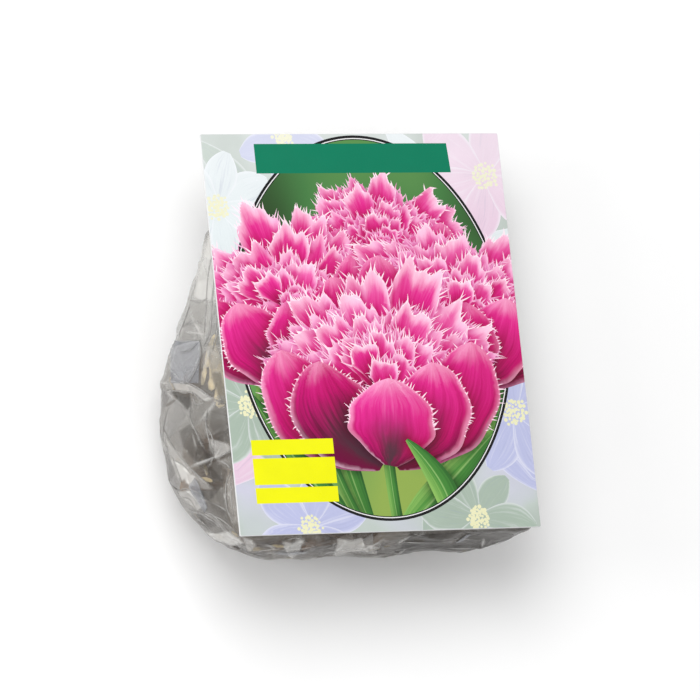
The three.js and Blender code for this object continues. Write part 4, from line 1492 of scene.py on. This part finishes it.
def blade(foot, knee, tip, width, draw):
    """One long leaf."""
    share = np.linspace(0, 1, 30)
    widths = width * np.sin(np.pi * np.clip(share * 0.86 + 0.12, 0, 1)) ** 0.8 + 0.15
    spine = Spine(foot, knee, tip, widths)
    return [printed(spine, "leaf_ink", draw.uniform(0, 20), in_window=True, casts=True)]


def stem(foot, knee, tip, width, draw):
    spine = Spine(foot, knee, tip, np.full(24, width))
    return [printed(spine, "leaf_ink", draw.uniform(0, 20), in_window=True, casts=True)]


def pastel_leaf(foot, turn, length, width, own):
    """A large pale leaf or petal of the border."""
    way = np.array([math.cos(turn), math.sin(turn)])
    beside = np.array([-way[1], way[0]])
    foot = np.array(foot, float)
    share = np.linspace(0, 1, 30)
    widths = width * np.sin(np.pi * (0.06 + 0.9 * share) ** 1.25) ** 0.8
    spine = Spine(foot, foot + way * length / 2 + beside * length * 0.08, foot + way * length, widths)
    return printed(spine, "border_ink", own)


GRAINS = 42
GRAIN_SIDES = 9
GOLDEN_ANGLE = 2.39996  # radians; grains turned by it fill their heart evenly


def blossom(centre, length, petals, start, own, draw):
    """A large pale flower of the border, with a cream heart of small grains."""
    shapes = []
    for step in range(petals):
        turn = start + step * 2 * math.pi / petals + draw.gauss(0, 0.08)
        size = length * draw.uniform(0.88, 1.1)
        shapes.append(pastel_leaf(centre, turn, size, size * 0.3, own + draw.uniform(0, 4)))
    for step in range(GRAINS):
        turn = step * GOLDEN_ANGLE
        away = length * 0.03 * math.sqrt(step) * draw.uniform(0.85, 1.15)
        grain = (centre[0] + away * math.cos(turn), centre[1] + away * math.sin(turn))
        shapes.append(disc(grain, draw.uniform(0.6, 1.05), "border_ink", CREAM + draw.uniform(0, 4)))
    return shapes


def disc(centre, radius, ink, own):
    turns = np.arange(GRAIN_SIDES) * 2 * np.pi / GRAIN_SIDES
    centre = np.array(centre, float)
    outline = centre + radius * np.stack([np.cos(turns), np.sin(turns)], 1)

    def measure(places):
        off = (places - centre) / radius
        return np.clip(np.linalg.norm(off, axis=1), 0, 1), off[:, 1]
    return Shape(ink, outline, measure, own)


def slab(low, high, ink, slant=0.0):
    (left, foot), (right, top) = low, high
    return Shape(ink, [(left, foot), (right, foot), (right + slant, top), (left, top)])


def oval(outset):
    """The picture's window, or a line of its frame that far outside it."""
    turns = np.arange(120) * 2 * np.pi / 120
    return np.stack([OVAL_MIDDLE[0] + (OVAL_HALF[0] + outset) * np.cos(turns),
                     OVAL_MIDDLE[1] + (OVAL_HALF[1] + outset) * np.sin(turns)], 1)


def card_outline():
    """The card's face, in from its soft edge, with its corners just rounded."""
    points = []
    for x, y, start in ((1, 1, 0), (-1, 1, 90), (-1, -1, 180), (1, -1, 270)):
        for step in range(4):
            turn = math.radians(start + 30 * step)
            inset = CORNER_RADIUS + CARD_EDGE_SOFTNESS
            points.append((x * (CARD_WIDTH / 2 - inset) + CORNER_RADIUS * math.cos(turn),
                           y * (CARD_HEIGHT / 2 - inset) + CORNER_RADIUS * math.sin(turn)))
    return np.array(points)


# The border's inks, each for the own numbers from its first one on: lilac, pink, sage, near white and cream
BORDER_INKS = ((8, (186, 190, 224)), (18, (230, 200, 220)), (28, (168, 184, 170)), (38, (222, 230, 232)),
               (48, (234, 232, 188)))
LILAC, PINK, SAGE, NEAR_WHITE, CREAM = 10, 20, 30, 40, 50

# The border's pale flowers (middle, petal length, petals, first turn, ink) and leaves (foot, turn, length,
# half-width, ink)
BLOSSOMS = (((-70, 60), 30, 7, 0.4, NEAR_WHITE), ((66, 74), 34, 6, 0.2, PINK), ((-64, -34), 30, 6, 1.0, SAGE),
            ((68, -40), 32, 7, 0.7, LILAC), ((-40, -92), 30, 6, 0.3, LILAC), ((44, -90), 28, 6, 0.9, SAGE),
            ((-34, 94), 26, 6, 0.5, LILAC))
BORDER_LEAVES = (((-76, 6), 0.7, 44, 8, LILAC), ((-80, -72), 0.6, 46, 9, PINK), ((74, 22), 2.3, 48, 9, SAGE),
                 ((80, -6), 2.9, 40, 8, PINK), ((16, -98), 1.0, 36, 7, SAGE), ((78, -78), 2.2, 44, 8, LILAC),
                 ((18, 98), -1.0, 40, 8, NEAR_WHITE), ((-78, 92), -0.9, 44, 8, SAGE),
                 ((78, 48), 3.6, 40, 8, NEAR_WHITE))


# What stands in the window, from its far side to its near one, in millimetres: leaves and stems (foot, knee,
# tip and half-width), and tulips (foot, height and lean)
WINDOW_PLANTS = (
    ("blade", (-52, -70), (-60, -30), (-44, 12), 6.5), ("blade", (58, -66), (66, -34), (48, 8), 7),
    ("blade", (-10, -92), (-26, -48), (-22, -8), 5.5),
    ("stem", (-14, -92), (-30, -60), (-34, -20), 2.2), ("stem", (16, -92), (34, -60), (40, -30), 2.2),
    ("tulip", (8, 12), 62, 0.03), ("tulip", (-31, -22), 78, -0.22), ("tulip", (38, -26), 80, 0.2),
    ("stem", (4, -95), (2, -78), (2, -60), 2.8),
    ("blade", (-22, -88), (-40, -70), (-64, -28), 7), ("blade", (6, -95), (26, -78), (58, -48), 8),
    ("tulip", (2, -66), 92, 0.0),
    ("blade", (30, -92), (34, -76), (12, -52), 6),
)


def print_shapes():
    """All the card's shapes in the order they are painted, and which of them is the picture's window."""
    draw = random.Random(PRINT_SEED)
    shapes = [Shape("border_ink", card_outline())]
    shapes += [pastel_leaf(*leaf) for leaf in BORDER_LEAVES]
    for flower in BLOSSOMS:
        shapes += blossom(*flower, draw)
    shapes += [Shape(ink, oval(outset)) for ink, outset in FRAME_LINES]
    shapes.append(Shape("meadow_ink", oval(0)))
    window = len(shapes) - 1
    makers = {"blade": blade, "stem": stem, "tulip": tulip}
    for kind, *plan in WINDOW_PLANTS:
        shapes += makers[kind](*plan, draw)
    shapes.append(slab(*BAND, "green_ink", BAND_SLANT))
    shapes += [slab((BAR_LEFT, low), (BAR_RIGHT, high), "yellow_ink") for low, high in BARS]
    return shapes, window


def paint_order(faces_of, shapes, window):
    """The shape that shows at each face: the last painted one that isn't cut off by the window."""
    shown = []
    for inside in faces_of:
        open_here = window in inside
        shown.append(max((s for s in inside if open_here or not shapes[s].in_window), default=0))
    return np.array(shown)


def shade_of(places, later):
    """Soft shade that the shapes on top throw on one below."""
    tree = KDTree(len(later))
    for index, (x, y) in enumerate(later):
        tree.insert((x, y, 0), index)
    tree.balance()
    reach = np.array([tree.find((x, y, 0))[2] for x, y in places])
    return 1 - SHADE_DEPTH * np.exp(-reach / SHADE_REACH)


def make_card():
    """The print, cut so that each face shows one shape and knows where on it its corners are."""
    shapes, window = print_shapes()
    points, outlines = [], []
    for shape in shapes:
        outlines.append(list(range(len(points), len(points) + len(shape.outline))))
        points.extend(Vector(p) for p in shape.outline)
    across, up = (np.arange(PRINT_GRID - size / 2, size / 2 - PRINT_INSET, PRINT_GRID)
                  for size in (CARD_WIDTH, CARD_HEIGHT))
    points.extend(Vector((x, y)) for x in across for y in up)
    places, _, cuts, _, _, inside_of = delaunay_2d_cdt(points, [], outlines, 1, JOIN_PRINT, True)
    # The card's own outline is shape 0
    on_card = [place for place, inside in enumerate(inside_of) if 0 in inside]
    shown = paint_order([inside_of[place] for place in on_card], shapes, window)
    used, faces = np.unique(np.array([list(cuts[place]) for place in on_card]), return_inverse=True)
    faces = faces.reshape(-1, 3)
    corners = np.array([tuple(p) for p in places])[used]
    inks = list(PRINT_INKS)
    values = np.zeros((len(faces), 3, 3))
    shades = np.ones((len(faces), 3))
    for index in np.unique(shown):
        shape = shapes[index]
        chosen = shown == index
        spots = corners[faces[chosen]].reshape(-1, 2)
        along, beside = shape.measure(spots) if shape.measure else np.zeros((2, len(spots)))
        values[chosen] = np.stack([along, beside, np.full(len(spots), shape.own)], 1).reshape(-1, 3, 3)
        if shape.ink in ("petal_ink", "leaf_ink") and len(spots) > SHADED_CORNERS:
            later = [s.outline for s in shapes[index + 1:] if s.casts and near(s, shape)]
            if later:
                shades[chosen] = shade_of(spots, np.concatenate(later)).reshape(-1, 3)
    build_card(corners, faces, [inks.index(shapes[s].ink) for s in shown], values, shades, inks)


def near(one, other):
    """Whether two shapes come close enough for shade."""
    low = np.maximum(one.outline.min(0), other.outline.min(0))
    high = np.minimum(one.outline.max(0), other.outline.max(0))
    return bool((low < high + NEAR_SPAN).all())


def build_card(corners, faces, ink_of, values, shades, inks):
    """The board under its printed face, with softly pressed edges."""
    top = CARD_THICKNESS / 2
    shape = bmesh.new()
    verts = [shape.verts.new((x, y, top)) for x, y in corners]
    place = shape.loops.layers.float_vector.new("print_place")
    shade = shape.loops.layers.float.new("print_shade")
    for index, face in enumerate(faces):
        made = shape.faces.new([verts[c] for c in face])
        made.material_index = int(ink_of[index])
        made.smooth = False
        for step, loop in enumerate(made.loops):
            loop[place] = values[index][step]
            loop[shade] = float(shades[index][step])
    shape.normal_update()
    for face in list(shape.faces):
        if face.normal.z < 0:
            face.normal_flip()
    soft = CARD_EDGE_SOFTNESS
    edge = [e for e in shape.edges if len(e.link_faces) == 1]
    for out, drop in ((soft, -soft), (0, 2 * soft - CARD_THICKNESS), (-soft, -soft)):
        made = bmesh.ops.extrude_edge_only(shape, edges=edge)["geom"]
        edge = [part for part in made if isinstance(part, bmesh.types.BMEdge)]
        moved = {vert for part in edge for vert in part.verts}
        for face in {f for part in edge for f in part.link_faces}:
            face.material_index = len(inks) - 1
        for vert in moved:
            vert.co.z += drop
            for axis, size in enumerate((CARD_WIDTH, CARD_HEIGHT)):
                if abs(vert.co[axis]) > size / 2 - PRINT_INSET:
                    vert.co[axis] += math.copysign(out, vert.co[axis])
    back = bmesh.ops.edgeloop_fill(shape, edges=edge, mat_nr=len(inks) - 1)["faces"]
    bmesh.ops.triangulate(shape, faces=back)
    bmesh.ops.recalc_face_normals(shape, faces=shape.faces)
    bmesh.ops.scale(shape, vec=(MM, MM, MM), verts=shape.verts)
    shape.transform(CARD_FRAME)
    mesh = bpy.data.meshes.new("card_board")
    shape.to_mesh(mesh)
    shape.free()
    for ink in inks:
        mesh.materials.append(print_finish(ink, PRINT_INKS[ink]))
    put_piece("card_board", mesh, ["card"])


def make_print_group():
    """The gloss coat over the card's inks: where it is rubbed, and the fine grain of the board under it."""
    inputs = [("Ink", "Color", None), ("Place", "Vector", None)]
    outputs = [("Colour", "Color"), ("Roughness", "Float"), ("Height", "Float")]
    finish, start, end = new_group("coated_print", inputs, outputs)
    grain = finish.noise(start["Place"], 2600, 2, 0.6)
    cloud = finish.noise(start["Place"], 28, 3, 0.5)
    rub = finish.group(HANDLING, Place=start["Place"], Size=40.0)["Rub"]
    tint = finish.plus(grain, 0.08, 0.96)
    finish.feed(end, Colour=finish.tinted(start["Ink"], tint, tint, tint),
                Roughness=finish.plus(rub, 0.10, finish.plus(cloud, 0.08, 0.24)),
                Height=finish.plus(grain, 0.2, cloud))
    return finish.tree


COATED = make_print_group()


def print_finish(name, ink):
    """A printed finish: its ink colour under the card's gloss coat."""
    material, finish, shader = new_material(name)
    place = finish.place()
    coated = finish.group(COATED, Ink=ink(finish, place), Place=place)
    finish.feed(shader, Base_Color=coated["Colour"], Roughness=coated["Roughness"],
                Normal=finish.bump(coated["Height"], 0.08, 0.0004), Specular_IOR_Level=0.2,
                Coat_Weight=0.12, Coat_Roughness=0.12)
    return material


def on_shape(finish):
    """Where on its shape a place is: along it, across it, the shape's own number, and all as a vector."""
    parts = finish.parts(finish.vector("print_place"))
    along, across, own = parts["X"], parts["Y"], parts["Z"]
    return along, across, own, finish.point(across, own, along)


def shaded(finish, colour, *powers):
    """Darkens an ink in the shade of what is printed over it, each colour to its own power."""
    shade = finish.value("print_shade")
    return finish.tinted(colour, *(finish.math("POWER", shade, power) for power in powers))


def petal_ink(finish, place):
    """Pink with fine lines, paler to the tip and rim. The front petals are deeper, with a dark flame."""
    along, across, own, spot = on_shape(finish)
    off_middle = finish.math("ABSOLUTE", across)
    front = finish.between(own, 90, 99)
    lines = finish.streaks(spot, 16.0, 2.5)
    blotch = finish.noise(spot, 2.6, 3, 0.6)
    tone = finish.noise(finish.point(own, own, 0.0), 3.7, 1)
    value = finish.math("SUBTRACT", finish.plus(lines, 0.5, finish.times(along, 0.55)), 0.34)
    value = finish.plus(front, -0.13, finish.plus(tone, 0.5, value))
    colour = finish.ramp(value, (0.16, (104, 0, 54)), (0.34, (190, 6, 106)), (0.52, (222, 40, 140)),
                         (0.7, (236, 108, 176)), (0.9, (250, 188, 220)))
    edge = finish.math("MAXIMUM", off_middle, along)
    edge = finish.plus(finish.math("SUBTRACT", blotch, 0.5), 0.3, edge)
    rim = finish.times(finish.between(edge, 0.8, 1.02), finish.plus(front, -0.45, 0.85))
    colour = finish.mix(rim, colour, (253, 214, 233))
    colour = finish.mix(finish.between(along, 1.0, 1.25, 0.0, 0.9), colour, (255, 232, 243))
    flame = finish.times(finish.between(off_middle, 0.7, 0.1), finish.between(along, 0.8, 0.15))
    flame = finish.times(finish.times(flame, front), finish.between(blotch, 0.3, 0.6, 0.35, 0.95))
    colour = finish.mix(flame, colour, (74, 48, 58))
    light = finish.plus(across, 0.12, finish.plus(blotch, 0.4, 0.74))
    colour = finish.tinted(colour, finish.math("POWER", light, 0.5), light, light)
    return shaded(finish, colour, 0.45, 1.8, 0.9)


def leaf_ink(finish, place):
    """Leaf green with fine lines and a pale middle rib."""
    _, across, _, spot = on_shape(finish)
    lines = finish.streaks(spot, 12.0, 1.2)
    value = finish.plus(lines, 0.5, finish.plus(across, 0.2, 0.22))
    colour = finish.ramp(value, (0.2, (34, 82, 36)), (0.48, (72, 138, 58)), (0.8, (156, 200, 104)))
    rib = finish.between(finish.math("ABSOLUTE", across), 0.1, 0.02, 0.0, 0.5)
    return shaded(finish, finish.mix(rib, colour, (170, 208, 130)), 1.0, 1.0, 1.0)


def meadow_ink(finish, place):
    """Green out of focus, dark at the picture's top."""
    soft = finish.noise(place, 14, 1, 0.4, 0.5)
    value = finish.plus(soft, 0.75, finish.between(finish.parts(place)["Y"], -0.09, 0.09, 0.3, -0.04))
    return finish.ramp(value, (0.26, (42, 66, 34)), (0.42, (66, 118, 64)), (0.56, (98, 148, 80)),
                       (0.74, (140, 166, 78)))


def border_ink(finish, place):
    """Pale flowers on a sage ground that fades out towards the card's top."""
    _, across, own, spot = on_shape(finish)
    soft = finish.noise(place, 24, 2, 0.5, 0.4)
    colour = finish.ramp(soft, (0.34, (172, 184, 174)), (0.5, (190, 200, 194)), (0.66, (206, 206, 222)))
    for start, ink in BORDER_INKS:
        colour = finish.mix(finish.between(own, start, start + 0.1), colour, ink)
    on_motif = finish.between(own, 5, 6)
    lines = finish.streaks(spot, 9.0, 1.6)
    rim = finish.between(finish.math("ABSOLUTE", across), 0.8, 1.0, 0.0, 0.5)
    pale = finish.math("MAXIMUM", rim, finish.between(lines, 0.5, 0.75, 0.0, 0.45))
    colour = finish.mix(finish.times(pale, on_motif), colour, (242, 242, 248))
    deep = finish.times(finish.between(lines, 0.45, 0.3, 0.0, 0.35), on_motif)
    colour = finish.mix(deep, colour, (150, 158, 186))
    up = finish.parts(place)["Y"]
    colour = finish.mix(finish.between(up, 0.03, 0.096, 0.0, 0.35), colour, (244, 246, 248))
    light = finish.plus(finish.noise(place, 60, 3), 0.12, 0.88)
    return finish.tinted(colour, light, light, light)


def plain_ink(*colour):
    """One ink, a little uneven."""
    def ink(finish, place):
        return finish.mix(finish.noise(place, 70, 3, 0.6), tuple(0.94 * part for part in colour), colour)
    return ink


PRINT_INKS = {
    "border_ink": border_ink,
    "frame_ink": plain_ink(22, 22, 24),
    "frame_gap_ink": plain_ink(240, 240, 240),
    "meadow_ink": meadow_ink,
    "leaf_ink": leaf_ink,
    "petal_ink": petal_ink,
    "green_ink": plain_ink(0, 122, 90),
    "yellow_ink": plain_ink(240, 240, 6),
    "board": plain_ink(216, 217, 218),
}


# Studio

LAMP_AIM = Vector((0, 0, 0.03))


def add_area(name, place, size, power):
    """A soft rectangular light that looks at the packet."""
    lamp = bpy.data.lights.new(name, "AREA")
    lamp.shape = "RECTANGLE"
    lamp.size, lamp.size_y = size
    lamp.energy = power
    light = put(name, lamp)
    light.location = place
    light.rotation_euler = (LAMP_AIM - Vector(place)).to_track_quat("-Z", "Y").to_euler()


def set_studio():
    """White air and three soft lights: above, from the left and from the front."""
    world = bpy.data.worlds.new("studio_air")
    world.use_nodes = True
    background = world.node_tree.nodes["Background"]
    background.inputs["Color"].default_value = (1, 1, 1, 1)
    background.inputs["Strength"].default_value = 0.55
    bpy.context.scene.world = world
    add_area("large_softbox", (-0.5, 0.6, 1.4), (0.9, 0.9), 15)
    add_area("left_strip", (-1.3, 0.1, 0.45), (0.3, 1.2), 6.5)
    add_area("front_strip", (0.1, -1.3, 0.45), (1.2, 0.3), 4)


def lay_floor():
    """The pale table top, which isn't a piece of the packet."""
    material, finish, shader = new_material("pale_table")
    colour = finish.mix(finish.noise(finish.place(), 6), (246, 246, 246), (252, 252, 252))
    finish.feed(shader, Base_Color=colour, Roughness=0.75)
    shape = bmesh.new()
    bmesh.ops.create_grid(shape, x_segments=8, y_segments=8, size=2.5)
    mesh = bpy.data.meshes.new("table_top")
    shape.to_mesh(mesh)
    shape.free()
    mesh.materials.append(material)
    put("table_top", mesh)


def set_camera():
    """The photograph's camera."""
    data = bpy.data.cameras.new("camera")
    data.lens = CAMERA_LENS
    data.sensor_width = CAMERA_SENSOR
    data.clip_start = 0.05
    data.clip_end = 20
    camera = put("camera", data)
    camera.location = CAMERA_PLACE
    camera.rotation_euler = CAMERA_ROTATION
    bpy.context.scene.camera = camera


bpy.context.scene.view_settings.view_transform = "Standard"
set_camera()
lay_floor()
set_studio()
make_card()
tunic = tunic_material()
heap = make_bulbs(tunic)
pouch = make_film(heap)
make_flakes(*pouch, heap, tunic)
